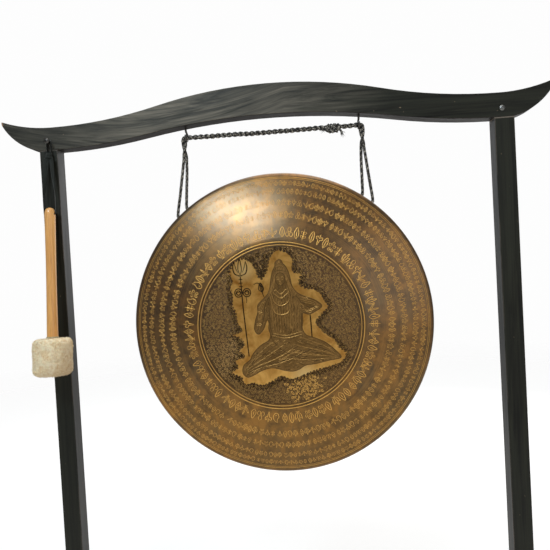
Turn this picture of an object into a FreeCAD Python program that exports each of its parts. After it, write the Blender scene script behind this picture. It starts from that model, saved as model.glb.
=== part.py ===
"""A tam tam gong on its wooden stand, with the mallet that hangs on the left post.

Millimetres. +Z is up and X runs along the crossbeam. The gong's face looks along -Y.
The origin is on the floor, in the middle of the stand. The gong hangs a few millimetres to the right of it.
"""

import FreeCAD, Part
import math
import os
import re

import Sketcher

SIZES = {
    # gong
    "gong_height": 945,
    "gong_radius": 350,
    "gong_sheet": 2,
    "gong_dome": 55,
    "medallion_radius": 190,
    "medallion_crown": 2,
    "band_bend": 1130,
    "band_end_slope": 20,
    "rim_bend": 12,
    "flange_depth": 30,
    "hole_setback": 10,
    "hole_radius": 4.5,
    "inner_hole_angle": 35.8,
    "outer_hole_angle": 40.4,
    "hole_turn": 0.9,
    "hang_setback": 4,
    "hang_shift": 5.7,
    # crossbeam
    "beam_depth": 36,
    "beam_reach": 641,
    "beam_top": 1501,
    "beam_top_dip": 62.8,
    "beam_under": 1430,
    "beam_under_dip": 46.5,
    "dip_reach": 520,
    "seat_reach": 548,
    "tip_under_reach": 640,
    "tip_under_rise": 66.5,
    "tip_top_rise": 21.5,
    "tip_under_bend": 135,
    "tip_top_bend": 350,
    "beam_edge": 1.5,
    # posts, feet and rail
    "post_gap": 1014,
    "post_width": 43.5,
    "post_depth": 35,
    "post_edge": 1.2,
    "tongue_height": 52,
    "tenon_width": 22,
    "tenon_length": 42,
    "tenon_inset": 4,
    "tenon_root": 5,
    "foot_length": 520,
    "foot_width": 50,
    "foot_top": 61,
    "foot_arch": 12,
    "foot_toe": 72,
    "foot_nose": 34,
    "pad_height": 6,
    "pad_radius": 18,
    "rail_height": 45,
    "rail_depth": 22,
    "rail_level": 200,
    "joint_play": 0.1,
    "snug": 0.05,
    # fasteners
    "bolt_radius": 3,
    "bolt_hole": 3.25,
    "bolt_head_radius": 6.2,
    "bolt_head_height": 4.6,
    "bolt_reach": 524,
    "bolt_level": 1403,
    "bolt_spare": 3,
    "slot_half_width": 0.7,
    "slot_reach": 3.4,
    "peg_stand": 14,
    "nut_radius": 5.8,
    "nut_height": 5,
    "washer_radius": 7.5,
    "washer_sheet": 1.6,
    "barrel_radius": 5,
    "barrel_length": 15,
    "barrel_setback": 30,
    "dowel_radius": 4,
    "dowel_length": 39,
    "dowel_spread": 14,
    # hooks and cord
    "hook_reach": 203,
    "hook_wire": 2.5,
    "hook_bend": 10,
    "hook_neck": 5,
    "hook_top": 1448,
    "cord_level": 1394.9,
    "cord_radius": 3.25,
    "cord_spread": 3.6,
    "hook_lift": 1.9,
    "cord_gap": 0.5,
    "cord_bend": 3.5,
    "cord_rim_gap": 2.3,
    "bight_bend": 4.5,
    "bight_depth": 11,
    "knot_reach": 147,
    "knot_tail": 16,
    # mallet
    "mallet_reach": 524,
    "mallet_stand": 66,
    "mallet_level": 897.5,
    "mallet_lean": 4.8,
    "head_radius": 44,
    "head_height": 86,
    "cover_sheet": 6,
    "cover_corner": 12,
    "core_radius": 24,
    "core_height": 60,
    "handle_radius": 12,
    "handle_waist": 11.2,
    "handle_foot": 12.2,
    "handle_top": 348.5,
    "handle_nose": 8,
    "handle_collar": 6,
    "handle_low_bend": 2500,
    "handle_high_bend": 4000,
    "handle_hole": 334,
    "handle_hole_radius": 3.4,
    "binding_radius": 1.6,
    "binding_gap": 0.3,
    "strap_radius": 2.6,
    "strap_loop_depth": 5,
    "strap_loop_sheet": 2.5,
    "strap_loop_radius": 7.2,
    "strap_loop_drop": 26.5,
    "strap_knot_radius": 6,
    "strap_knot_gap": 0.5,
    "strap_pinch": 4,
    "strap_flare": 12,
    "strap_bend": 3,
}
SHEET = "Sizes"
SIDES = {"left": -1, "right": 1}

doc = FreeCAD.newDocument("tam_tam_gong")
parts = []


# ---------------------------------------------------------------- sheet and expressions
def make_sheet():
    sheet = doc.addObject("Spreadsheet::Sheet", SHEET)
    for row, (alias, number) in enumerate(SIZES.items(), start=1):
        sheet.set(f"A{row}", alias)
        sheet.set(f"B{row}", str(number))
        sheet.setAlias(f"B{row}", alias)
    doc.recompute()
    return sheet


def bound(formula):
    """The formula with each size's alias written as a cell of the sheet."""
    return re.sub(
        r"[a-z_]+", lambda word: f"{SHEET}.{word.group()}" if word.group() in SIZES else word.group(),
        str(formula),
    )


def value(formula):
    """What a formula comes to, worked out by the document's own expressions."""
    probe.setExpression("result", bound(formula))
    probe.recompute()
    return probe.result


def size(alias):
    return float(sheet.get(alias))


def bind(thing, **formulas):
    for name, formula in formulas.items():
        thing.setExpression(name, bound(formula))


def place(thing, at=("0", "0", "0"), axis=None, angle="0"):
    """Puts a sub-part at a point given by formulas, turned by an angle about an axis."""
    if axis is not None:
        rotation = FreeCAD.Rotation(FreeCAD.Vector(*axis), value(angle))
        thing.Placement = FreeCAD.Placement(FreeCAD.Vector(), rotation)
    for letter, formula in zip("xyz", at):
        thing.setExpression(f"Placement.Base.{letter}", bound(formula))
    return thing


def keep(thing, label):
    """Names a finished sub-part; its label is its file's name."""
    thing.Label = label
    parts.append(thing)
    return thing


# ---------------------------------------------------------------- PartDesign helpers
def new_body(name):
    return doc.addObject("PartDesign::Body", name)


def new_sketch(body, plane, lift=None):
    """A sketch on one of the body's own origin planes, lifted off it by a formula if wanted."""
    sketch = body.newObject("Sketcher::SketchObject", f"{body.Name}_sketch")
    origin_plane = [f for f in body.Origin.OriginFeatures if f.Role == plane][0]
    sketch.AttachmentSupport = [(origin_plane, "")]
    sketch.MapMode = "FlatFace"
    if lift is not None:
        sketch.setExpression("AttachmentOffset.Base.z", bound(lift))
    return sketch


def arc_between(start, end, radius, side):
    """The short arc from start to end whose centre is on the left (+1) or right (-1) of travel."""
    chord = end - start
    across = FreeCAD.Vector(-chord.y, chord.x, 0).normalize() * side
    reach = math.sqrt(max(radius**2 - (chord.Length / 2) ** 2, 0))
    centre = (start + end) / 2 + across * reach
    first, last = (start, end) if side > 0 else (end, start)
    angles = [math.atan2(p.y - centre.y, p.x - centre.x) for p in (first, last)]
    return Part.ArcOfCircle(Part.Circle(centre, FreeCAD.Vector(0, 0, 1), radius), *angles)


def draw(sketch, corners, arcs=None, closed=True):
    """Draws an outline through corners given as formulas. arcs maps an edge's number to (radius, side)."""
    arcs = arcs or {}
    points = [FreeCAD.Vector(value(x), value(y), 0) for x, y in corners]
    count = len(points) if closed else len(points) - 1
    starts, ends = [], []
    for i in range(count):
        start, end = points[i], points[(i + 1) % len(points)]
        if i in arcs:
            radius, side = arcs[i]
            edge = sketch.addGeometry(arc_between(start, end, value(radius), side), False)
            number = sketch.addConstraint(Sketcher.Constraint("Radius", edge, value(radius)))
            sketch.setExpression(f"Constraints[{number}]", bound(radius))
            starts.append((edge, 1 if side > 0 else 2))
            ends.append((edge, 2 if side > 0 else 1))
        else:
            edge = sketch.addGeometry(Part.LineSegment(start, end), False)
            starts.append((edge, 1))
            ends.append((edge, 2))
    for i in range(count if closed else count - 1):
        sketch.addConstraint(Sketcher.Constraint("Coincident", *ends[i], *starts[(i + 1) % count]))
    fixed = starts if closed else starts + [ends[-1]]
    for spot, point, (x, y) in zip(fixed, points, corners):
        pin(sketch, "DistanceX", spot, point.x, x)
        pin(sketch, "DistanceY", spot, point.y, y)
    return sketch


def pin(sketch, kind, spot, number, formula):
    """Holds one coordinate of a sketch point at a formula."""
    index = sketch.addConstraint(Sketcher.Constraint(kind, -1, 1, *spot, number))
    sketch.setExpression(f"Constraints[{index}]", bound(formula))


def draw_circle(sketch, x, y, radius):
    centre = FreeCAD.Vector(value(x), value(y), 0)
    edge = sketch.addGeometry(Part.Circle(centre, FreeCAD.Vector(0, 0, 1), value(radius)), False)
    index = sketch.addConstraint(Sketcher.Constraint("Radius", edge, value(radius)))
    sketch.setExpression(f"Constraints[{index}]", bound(radius))
    pin(sketch, "DistanceX", (edge, 3), centre.x, x)
    pin(sketch, "DistanceY", (edge, 3), centre.y, y)
    return sketch


def draw_box(sketch, low_x, low_y, high_x, high_y):
    return draw(sketch, [(low_x, low_y), (high_x, low_y), (high_x, high_y), (low_x, high_y)])


def extrude(body, kind, sketch, length, both_ways=True, reverse=False):
    """A Pad or a Pocket of a sketch."""
    feature = body.newObject(f"PartDesign::{kind}", f"{body.Name}_{kind.lower()}")
    feature.Profile = sketch
    feature.Midplane = both_ways
    feature.Reversed = reverse
    bind(feature, Length=length)
    return feature


def turn(body, kind, sketch, axis):
    """A full Revolution or Groove of a sketch about its own horizontal or vertical axis."""
    feature = body.newObject(f"PartDesign::{kind}", f"{body.Name}_{kind.lower()}")
    feature.Profile = sketch
    feature.ReferenceAxis = (sketch, [axis])
    feature.Angle = 360
    return feature


def round_edges(body, radius, wanted):
    """Fillets the tip's edges that pass the test."""
    doc.recompute()
    base = body.Tip
    names = [f"Edge{i}" for i, edge in enumerate(base.Shape.Edges, start=1) if wanted(edge)]
    feature = body.newObject("PartDesign::Fillet", f"{body.Name}_fillet")
    feature.Base = (base, names)
    bind(feature, Radius=radius)
    return feature


# ---------------------------------------------------------------- Part helpers
def cylinder(radius, height, at, axis=None, angle="0"):
    rod = doc.addObject("Part::Cylinder", "rod")
    bind(rod, Radius=radius, Height=height)
    return place(rod, at, axis, angle)


def cut(base, tool, name="cut"):
    result = doc.addObject("Part::Cut", name)
    result.Base = base
    result.Tool = tool
    return result


def fuse(shapes, name="fused"):
    result = doc.addObject("Part::MultiFuse", name)
    result.Shapes = shapes
    return result


def group(members, label):
    """Identical pieces, each a separate solid, under one name."""
    result = doc.addObject("Part::Compound", label)
    result.Links = members
    return keep(result, label)


def rope(points, bend, radius, closed=False):
    """A round cord through 3-D points, with each inner corner bent to a radius."""
    if closed:
        points = points + [points[0], points[1]]
    edges, here = [], points[0] if not closed else (points[0] + points[1]) / 2
    for before, corner, after in zip(points, points[1:], points[2:]):
        inward, outward = (before - corner).normalize(), (after - corner).normalize()
        half = inward.getAngle(outward) / 2
        leg = bend / math.tan(half)
        middle = corner + (inward + outward).normalize() * (bend / math.sin(half) - bend)
        edges.append(Part.makeLine(here, corner + inward * leg))
        edges.append(Part.Arc(corner + inward * leg, middle, corner + outward * leg).toShape())
        here = corner + outward * leg
    edges.append(Part.makeLine(here, (points[0] + points[1]) / 2 if closed else points[-1]))
    path = Part.Wire(edges)
    start, along = path.Vertexes[0].Point, edges[0].tangentAt(edges[0].FirstParameter)
    ring = Part.Wire([Part.makeCircle(radius, start, along)])
    return Part.Solid(path.makePipeShell([ring], True, True).Shells[0])


def feature(name, shape):
    piece = doc.addObject("Part::Feature", name)
    piece.Shape = shape
    return piece


# ---------------------------------------------------------------- stand
def mirrored_outline(half, arcs):
    """Both halves of an outline drawn on +X from the middle of the underside to the middle of the top."""
    count = len(half)
    corners = [(x, z) for x, z in half] + [(f"-({x})", z) for x, z in reversed(half)]
    both = dict(arcs)
    for edge, (radius, side) in arcs.items():
        both[2 * count - 2 - edge] = (radius, side)
    return corners, both


def make_crossbeam():
    """A flat board sawn to a long double curve, its ends swept up, halved at the back over the posts."""
    body = new_body("crossbeam")
    top_chord = "(dip_reach^2 + beam_top_dip^2) / (2 * beam_top_dip)"
    under_chord = "(dip_reach^2 + beam_under_dip^2) / (2 * beam_under_dip)"
    thick = "(beam_top - beam_under)"
    under_turn, top_turn = "0.563", "0.5"
    half = [
        (f"{under_turn} * dip_reach", f"-{under_turn} * beam_under_dip"),
        ("dip_reach", "-beam_under_dip"),
        ("seat_reach", "-beam_under_dip"),
        ("tip_under_reach", "tip_under_rise - beam_under_dip"),
        ("beam_reach", f"{thick} - beam_top_dip + tip_top_rise"),
        ("dip_reach", f"{thick} - beam_top_dip"),
        (f"{top_turn} * dip_reach", f"{thick} - {top_turn} * beam_top_dip"),
    ]
    arcs = {
        0: (f"(1 - {under_turn}) * {under_chord}", 1),
        2: ("tip_under_bend", 1),
        4: ("tip_top_bend", -1),
        5: (f"(1 - {top_turn}) * {top_chord}", -1),
    }
    corners, both = mirrored_outline(half, arcs)
    both[6] = (f"{top_turn} * {top_chord}", 1)
    both[13] = (f"{under_turn} * {under_chord}", -1)
    extrude(body, "Pad", draw(new_sketch(body, "XZ_Plane"), corners, both), "beam_depth")
    half_depth = size("beam_depth") / 2
    round_edges(body, "beam_edge", lambda e: all(abs(abs(v.Y) - half_depth) < 0.01 for v in e.Vertexes)
                and e.Length > 20)
    for side in SIDES.values():
        middle = f"{side} * (post_gap + post_width) / 2"
        reach = "(post_width / 2 + joint_play)"
        housing = new_sketch(body, "XY_Plane", "-2 * beam_under_dip")
        draw_box(housing, f"{middle} - {reach}", "0", f"{middle} + {reach}", "beam_depth")
        extrude(body, "Pocket", housing, "4 * beam_under_dip", both_ways=False, reverse=True)
        bolt = draw_circle(new_sketch(body, "XZ_Plane"), f"{side} * bolt_reach", "bolt_level - beam_under",
                           "bolt_hole")
        extrude(body, "Pocket", bolt, "2 * beam_depth")
        pilot = new_sketch(body, "XY_Plane", "hook_top + joint_play - beam_under")
        reach = f"{side} * hook_reach + hang_shift"
        draw_circle(pilot, reach, "hang_setback - hook_neck", "hook_wire + snug")
        extrude(body, "Pocket", pilot, "beam_top - beam_under", both_ways=False)
    place(body, ("0", "0", "beam_under"))
    keep(body, "crossbeam")


def make_post(name, side):
    """A square post: a tongue behind the beam, a shoulder under it, and a tenon into the foot."""
    body = new_body(f"{name}_post")
    shoulder = "beam_under - beam_under_dip - foot_top"
    profile = [
        ("-post_depth / 2", "0"),
        ("post_depth / 2", "0"),
        ("post_depth / 2", f"{shoulder} + tongue_height"),
        ("joint_play", f"{shoulder} + tongue_height"),
        ("joint_play", shoulder),
        ("-post_depth / 2", shoulder),
    ]
    extrude(body, "Pad", draw(new_sketch(body, "YZ_Plane"), profile), "post_width")
    round_edges(body, "post_edge", lambda e: e.Length > 1000)
    half_tenon = "(post_depth / 2 - tenon_inset)"
    side_view = new_sketch(body, "YZ_Plane")
    tenon = draw_box(side_view, f"-{half_tenon}", "-tenon_length", half_tenon, "tenon_root")
    extrude(body, "Pad", tenon, "tenon_width")
    rail_hole = draw_circle(new_sketch(body, "YZ_Plane"), "0", "rail_level - foot_top", "bolt_hole")
    extrude(body, "Pocket", rail_hole, "2 * post_width")
    foot_hole = draw_circle(new_sketch(body, "YZ_Plane"), "0", "-tenon_length / 2", "bolt_hole")
    extrude(body, "Pocket", foot_hole, "2 * post_width")
    beam_hole = draw_circle(new_sketch(body, "XZ_Plane"),
                            f"{side} * (bolt_reach - post_gap / 2 - post_width / 2)", "bolt_level - foot_top",
                            "bolt_hole")
    extrude(body, "Pocket", beam_hole, "2 * post_depth")
    for spread in ("-dowel_spread", "dowel_spread"):
        dowel_hole = draw_circle(new_sketch(body, "YZ_Plane"), "0", f"rail_level - foot_top + {spread}",
                                 "dowel_radius + snug")
        extrude(body, "Pocket", dowel_hole, "post_width", both_ways=False, reverse=side < 0)
    place(body, (f"{side} * (post_gap + post_width) / 2", "0", "foot_top"))
    keep(body, f"{name}_post")


def make_foot(name, side):
    """A runner from front to back, its underside relieved between two toes and its ends rounded."""
    body = new_body(f"{name}_foot")
    half, toe = "foot_length / 2", "(foot_length / 2 - foot_toe)"
    end_low = "foot_top - foot_nose"
    profile = [
        (f"-{half}", "pad_height"),
        (f"-{toe}", "pad_height"),
        (f"-{toe} + 2 * foot_arch", "pad_height + foot_arch"),
        (f"{toe} - 2 * foot_arch", "pad_height + foot_arch"),
        (toe, "pad_height"),
        (half, "pad_height"),
        (half, end_low),
        (f"{half} - foot_nose", "foot_top"),
        (f"-({half} - foot_nose)", "foot_top"),
        (f"-{half}", end_low),
    ]
    arcs = {6: ("foot_nose", 1), 8: ("foot_nose", 1)}
    extrude(body, "Pad", draw(new_sketch(body, "YZ_Plane"), profile, arcs), "foot_width")
    half_width = size("foot_width") / 2
    round_edges(body, "post_edge", lambda e: all(abs(abs(v.X) - half_width) < 0.01 for v in e.Vertexes))
    half_mortise = "(post_depth / 2 - tenon_inset + joint_play)"
    mortise = draw_box(new_sketch(body, "YZ_Plane"), f"-{half_mortise}", "foot_top - tenon_length - 1",
                       half_mortise, "foot_top + tenon_root")
    extrude(body, "Pocket", mortise, "tenon_width + 2 * joint_play")
    bolt = draw_circle(new_sketch(body, "YZ_Plane"), "0", "foot_top - tenon_length / 2", "bolt_hole")
    extrude(body, "Pocket", bolt, "2 * foot_width")
    place(body, (f"{side} * (post_gap + post_width) / 2", "0", "0"))
    keep(body, f"{name}_foot")


def make_foot_pads():
    pads = []
    for side in SIDES.values():
        for end in (-1, 1):
            at = (f"{side} * (post_gap + post_width) / 2", f"{end} * (foot_length / 2 - foot_toe / 2)", "0")
            pads.append(cylinder("pad_radius", "pad_height", at))
    group(pads, "foot_pads")


def along_x(side):
    """The turn that points a cylinder's length out along +X or -X."""
    return {"axis": (0, 1, 0), "angle": str(90 * side)}


def make_lower_rail():
    """A rail between the posts, drilled in its ends for a bolt and two dowels, and across for barrel nuts."""
    rail = doc.addObject("Part::Box", "rail_bar")
    bind(rail, Length="post_gap", Width="rail_depth", Height="rail_height")
    place(rail, ("-post_gap / 2", "-rail_depth / 2", "rail_level - rail_height / 2"))
    holes = []
    for side in SIDES.values():
        start = f"{side} * (post_gap / 2 - 2 * barrel_setback)"
        holes.append(cylinder("bolt_hole", "3 * barrel_setback", (start, "0", "rail_level"), **along_x(side)))
        for spread in ("-dowel_spread", "dowel_spread"):
            start = f"{side} * (post_gap / 2 - dowel_length / 2 - 0.5)"
            level = f"rail_level + {spread}"
            spot = (start, "0", level)
            holes.append(cylinder("dowel_radius + snug", "dowel_length", spot, **along_x(side)))
        across = (f"{side} * (post_gap / 2 - barrel_setback)", "rail_depth / 2 - barrel_length", "rail_level")
        holes.append(cylinder("barrel_radius + snug", "barrel_length + 1", across, (1, 0, 0), "-90"))
    keep(cut(rail, fuse(holes), "lower_rail"), "lower_rail")


def make_rail_dowels():
    dowels = []
    for side in SIDES.values():
        for spread in ("-dowel_spread", "dowel_spread"):
            at = (f"{side} * (post_gap / 2 - dowel_length / 2)", "0", f"rail_level + {spread}")
            dowels.append(cylinder("dowel_radius", "dowel_length", at, **along_x(side)))
    group(dowels, "rail_dowels")


# ---------------------------------------------------------------- fasteners
def pan_bolt(name, shank):
    """A domed-head bolt with a cross recess; its head bears on its own XY plane and it points down -Z."""
    body = new_body(name)
    profile = [
        ("0", f"-({shank})"),
        ("bolt_radius", f"-({shank})"),
        ("bolt_radius", "0"),
        ("bolt_head_radius", "0"),
        ("bolt_head_radius", "bolt_head_height * 0.4"),
        ("0", "bolt_head_height"),
    ]
    dome = "(bolt_head_radius^2 + (bolt_head_height * 0.6)^2) / (2 * bolt_head_height * 0.6)"
    turn(body, "Revolution", draw(new_sketch(body, "XZ_Plane"), profile, {4: (dome, 1)}), "V_Axis")
    slot, reach = "slot_half_width", "slot_reach"
    cross = [(slot, slot), (slot, reach), (f"-{slot}", reach), (f"-{slot}", slot), (f"-{reach}", slot),
             (f"-{reach}", f"-{slot}"), (f"-{slot}", f"-{slot}"), (f"-{slot}", f"-{reach}"),
             (slot, f"-{reach}"), (slot, f"-{slot}"), (reach, f"-{slot}"), (reach, slot)]
    recess = draw(new_sketch(body, "XY_Plane", "bolt_head_height * 0.45"), cross)
    extrude(body, "Pocket", recess, "bolt_head_height", both_ways=False, reverse=True)
    return body


def ring(outer, inner, thickness, at, **turned):
    return cut(cylinder(outer, thickness, at, **turned), cylinder(inner, thickness, at, **turned), "ring")


def hex_nut(at, axis, angle):
    block = doc.addObject("Part::Prism", "nut_block")
    block.Polygon = 6
    bind(block, Circumradius="nut_radius", Height="nut_height")
    place(block, at, axis, angle)
    return cut(block, cylinder("bolt_radius + snug", "nut_height", at, axis, angle), "nut")


def make_beam_fasteners():
    """One bolt through each half-lap. The left one stands proud at the front and is the mallet's peg."""
    back = {"axis": (1, 0, 0), "angle": "-90"}
    washers, nuts = [], []
    for name, side in SIDES.items():
        stand = "peg_stand" if name == "left" else "0"
        label = "mallet_peg_bolt" if name == "left" else "right_beam_bolt"
        shank = f"beam_depth + washer_sheet + nut_height + bolt_spare + {stand}"
        bolt = pan_bolt(label, shank)
        place(bolt, (f"{side} * bolt_reach", f"-beam_depth / 2 - {stand}", "bolt_level"), (1, 0, 0), "90")
        keep(bolt, label)
        at = (f"{side} * bolt_reach", "post_depth / 2", "bolt_level")
        washers.append(ring("washer_radius", "bolt_hole", "washer_sheet", at, **back))
        beyond = (at[0], "post_depth / 2 + washer_sheet", at[2])
        nuts.append(hex_nut(beyond, **back))
    group(washers, "beam_washers")
    group(nuts, "beam_nuts")


def make_foot_fasteners():
    """A bolt across each foot and its tenon, its head outside and its nut inside."""
    bolts, washers, nuts = [], [], []
    level = "foot_top - tenon_length / 2"
    for side in SIDES.values():
        middle = f"{side} * (post_gap + post_width) / 2"
        outer = f"{middle} + {side} * (foot_width / 2)"
        inner = f"{middle} - {side} * (foot_width / 2)"
        bolt = pan_bolt("foot_bolt", "foot_width + 2 * washer_sheet + nut_height + bolt_spare")
        place(bolt, (f"{outer} + {side} * washer_sheet", "0", level), (0, 1, 0), str(90 * side))
        bolts.append(bolt)
        for at, way in ((outer, side), (inner, -side)):
            spot = (at, "0", level)
            washers.append(ring("washer_radius", "bolt_hole", "washer_sheet", spot, **along_x(way)))
        nuts.append(hex_nut((f"{inner} - {side} * washer_sheet", "0", level), **along_x(-side)))
    group(bolts, "foot_bolts")
    group(washers, "foot_washers")
    group(nuts, "foot_nuts")


def make_rail_fasteners():
    """A bolt through each post into a barrel nut that crosses the rail."""
    bolts, washers, barrels = [], [], []
    for side in SIDES.values():
        outer = f"{side} * (post_gap / 2 + post_width)"
        past_barrel = "barrel_setback + barrel_radius + bolt_spare"
        bolt = pan_bolt("rail_bolt", f"post_width + washer_sheet + {past_barrel}")
        place(bolt, (f"{outer} + {side} * washer_sheet", "0", "rail_level"), (0, 1, 0), str(90 * side))
        bolts.append(bolt)
        at = (outer, "0", "rail_level")
        washers.append(ring("washer_radius", "bolt_hole", "washer_sheet", at, **along_x(side)))
        across = (f"{side} * (post_gap / 2 - barrel_setback)", "rail_depth / 2 - barrel_length", "rail_level")
        barrel = cylinder("barrel_radius", "barrel_length", across, (1, 0, 0), "-90")
        start = (f"{side} * (post_gap / 2 - 2 * barrel_setback)", "0", "rail_level")
        bore = cylinder("bolt_radius + snug", "2 * barrel_setback", start, **along_x(side))
        barrels.append(cut(barrel, bore, "barrel"))
    group(bolts, "rail_bolts")
    group(washers, "rail_washers")
    group(barrels, "rail_barrel_nuts")


# ---------------------------------------------------------------- hooks and cord
def make_hook(name, side):
    """A wire hook screwed up into the beam: its neck steps back, then the wire curls under to the front."""
    body = new_body(f"{name}_hook")
    path = new_sketch(body, "YZ_Plane")
    draw(path, [
        ("-hook_neck", "hook_top - cord_level - hook_lift"),
        ("-hook_neck", "hook_bend + hook_neck"),
        ("0", "hook_bend"),
        ("hook_bend", "0"),
        ("0", "-hook_bend"),
        ("-hook_bend * cos(15)", "hook_bend * sin(15)"),
    ], {1: ("hook_neck", 1), 2: ("hook_bend", -1), 3: ("hook_bend", -1), 4: ("hook_bend", -1)}, closed=False)
    wire = draw_circle(new_sketch(body, "XY_Plane", "hook_top - cord_level - hook_lift"), "0", "-hook_neck",
                       "hook_wire")
    pipe = body.newObject("PartDesign::AdditivePipe", f"{name}_hook_pipe")
    pipe.Profile = wire
    pipe.Spine = (path, [])
    place(body, (f"{side} * hook_reach + hang_shift", "hang_setback", "cord_level + hook_lift"))
    keep(body, f"{name}_hook")


def hole_point(side, angle_name, radius):
    """A point at a radius from the gong's centre, in the plane of the cord, in line with a rim hole."""
    angle = math.radians(value(hole_angle(side, angle_name)))
    return FreeCAD.Vector(size("hang_shift") + side * radius * math.sin(angle), size("hang_setback"),
                          size("gong_height") + radius * math.cos(angle))


def hole_angle(side, angle_name):
    """A rim hole's angle from straight up; the gong hangs turned a little, so the two sides differ."""
    return f"({angle_name} - {side} * hole_turn)"


def make_cord_top_run():
    """The doubled cord from hook to hook."""
    strands = []
    for spread in ("-cord_spread", "cord_spread"):
        at = ("hang_shift - (hook_reach + hook_wire)", f"hang_setback + {spread}", "cord_level")
        strands.append(cylinder("cord_radius", "2 * (hook_reach + hook_wire)", at, (0, 1, 0), "90"))
    group(strands, "cord_top_run")


def make_cord_knot():
    """Two turns of the cord's end round the doubled run, with two short tails that hang and splay."""
    turns = []
    coil_radius = "(cord_spread + 2.1 * cord_radius)"
    for shift in (-1, 1):
        coil = doc.addObject("Part::Torus", "coil")
        bind(coil, Radius1=coil_radius, Radius2="cord_radius")
        at = (f"knot_reach + {shift} * 0.9 * cord_radius", "hang_setback", "cord_level")
        turns.append(place(coil, at, (0, 1, 0), "90"))
    for shift, splay in ((-1, 28), (1, 35)):
        at = (f"knot_reach + {shift} * 0.9 * cord_radius", "hang_setback", f"cord_level - {coil_radius}")
        turns.append(cylinder("0.9 * cord_radius", "knot_tail", at, (0, 1, 0), f"180 - {shift} * {splay}"))
    keep(fuse(turns, "cord_knot"), "cord_knot")


def make_cord_drop(name, side):
    """Two strands from a hook down to two holes; they stop just short of the rim."""
    strands = []
    middle = ("hang_shift", "hang_setback + 10 * cord_radius", "gong_height")
    rim = cylinder("gong_radius + cord_rim_gap", "20 * cord_radius", middle, (1, 0, 0), "90")
    start = f"hang_shift + {side} * (hook_reach + hook_wire + cord_gap)"
    corner = f"{start} + {side} * (cord_bend + cord_gap)"
    for spread, angle_name in ((-1, "inner_hole_angle"), (1, "outer_hole_angle")):
        back = size("hang_setback") + spread * size("cord_spread")
        points = [FreeCAD.Vector(value(x), back, size("cord_level")) for x in (start, corner)]
        points.append(hole_point(side, angle_name, size("gong_radius") - size("rim_bend")))
        strand = feature("strand", rope(points, size("cord_bend"), size("cord_radius")))
        strands.append(cut(strand, rim, "drop"))
    group(strands, f"{name}_cord_drop")


def make_cord_bight(name, side):
    """The cord's short loop inside the rim, in at one hole and out at the other."""
    outside, inside = size("gong_radius") + 1, size("gong_radius") - size("bight_depth")
    points = [hole_point(side, angle, radius) for angle, radius in (
        ("inner_hole_angle", outside), ("inner_hole_angle", inside),
        ("outer_hole_angle", inside), ("outer_hole_angle", outside))]
    bight = rope(points, size("bight_bend"), size("cord_radius"))
    keep(feature(f"{name}_cord_bight", bight), f"{name}_cord_bight")


# ---------------------------------------------------------------- gong
def gong_outline(skin):
    """The dome's profile, as (depth, radius), moved inwards by the sheet's thickness times skin."""
    inset = f"{skin} * gong_sheet"
    slope = "band_end_slope"
    face = f"-(gong_dome + hole_setback) + {inset}"
    knee_in = f"medallion_radius - {inset} * 0.1"
    corner = f"(rim_bend - {inset})"
    crown = f"(({knee_in})^2 + medallion_crown^2) / (2 * medallion_crown)"
    outline = [
        ("flange_depth - hole_setback", "0"),
        (f"{face} - medallion_crown", "0"),
        (face, knee_in),
        (f"-hole_setback - {corner} * cos({slope})", f"gong_radius - rim_bend + {corner} * sin({slope})"),
        ("-hole_setback", f"gong_radius - {inset}"),
        ("flange_depth - hole_setback", f"gong_radius - {inset}"),
    ]
    return outline, {1: (crown, -1), 2: (f"band_bend - {inset}", -1), 3: (corner, -1)}


def make_gong():
    """A domed bronze sheet: a nearly flat middle, a sloping band and a rim rolled back to a short wall."""
    body = new_body("gong_disc")
    corners, arcs = gong_outline(0)
    turn(body, "Revolution", draw(new_sketch(body, "YZ_Plane"), corners, arcs), "H_Axis")
    corners, arcs = gong_outline(1)
    corners[0] = ("flange_depth - hole_setback + 1", "0")
    corners[-1] = ("flange_depth - hole_setback + 1", corners[-1][1])
    turn(body, "Groove", draw(new_sketch(body, "YZ_Plane"), corners, arcs), "H_Axis")
    drills = []
    for side in SIDES.values():
        for angle_name in ("inner_hole_angle", "outer_hole_angle"):
            angle = hole_angle(side, angle_name)
            inside = "(gong_radius - 2 * bight_depth)"
            start = (f"{side} * {inside} * sin({angle})", "0", f"{inside} * cos({angle})")
            drills.append(cylinder("hole_radius", "4 * bight_depth", start, (0, 1, 0), f"{side} * {angle}"))
    gong = cut(body, fuse(drills), "gong")
    place(gong, ("hang_shift", "hang_setback", "gong_height"))
    keep(gong, "gong")


# ---------------------------------------------------------------- mallet
def place_on_mallet(thing):
    """The mallet's own frame: its axis is Z and its origin the middle of its head; it leans on the post."""
    return place(thing, ("-mallet_reach", "-mallet_stand", "mallet_level"), (1, 0, 0), "-mallet_lean")


def make_mallet_handle():
    """Turned wood: a foot inside the head, a slim waist, and a rounded top with a hole for the strap."""
    body = new_body("handle_turning")
    profile = [
        ("0", "-core_height / 2"),
        ("handle_foot", "-core_height / 2"),
        ("handle_foot", "head_height / 2 + handle_collar"),
        ("handle_waist", "handle_top * 0.55"),
        ("handle_radius", "handle_top - handle_nose"),
        ("handle_radius - handle_nose", "handle_top"),
        ("0", "handle_top"),
    ]
    arcs = {2: ("handle_low_bend", 1), 3: ("handle_high_bend", -1), 4: ("handle_nose", 1)}
    turn(body, "Revolution", draw(new_sketch(body, "YZ_Plane"), profile, arcs), "V_Axis")
    hole = draw_circle(new_sketch(body, "YZ_Plane"), "0", "handle_hole", "handle_hole_radius")
    extrude(body, "Pocket", hole, "4 * handle_radius")
    keep(place_on_mallet(body), "mallet_handle")


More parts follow.
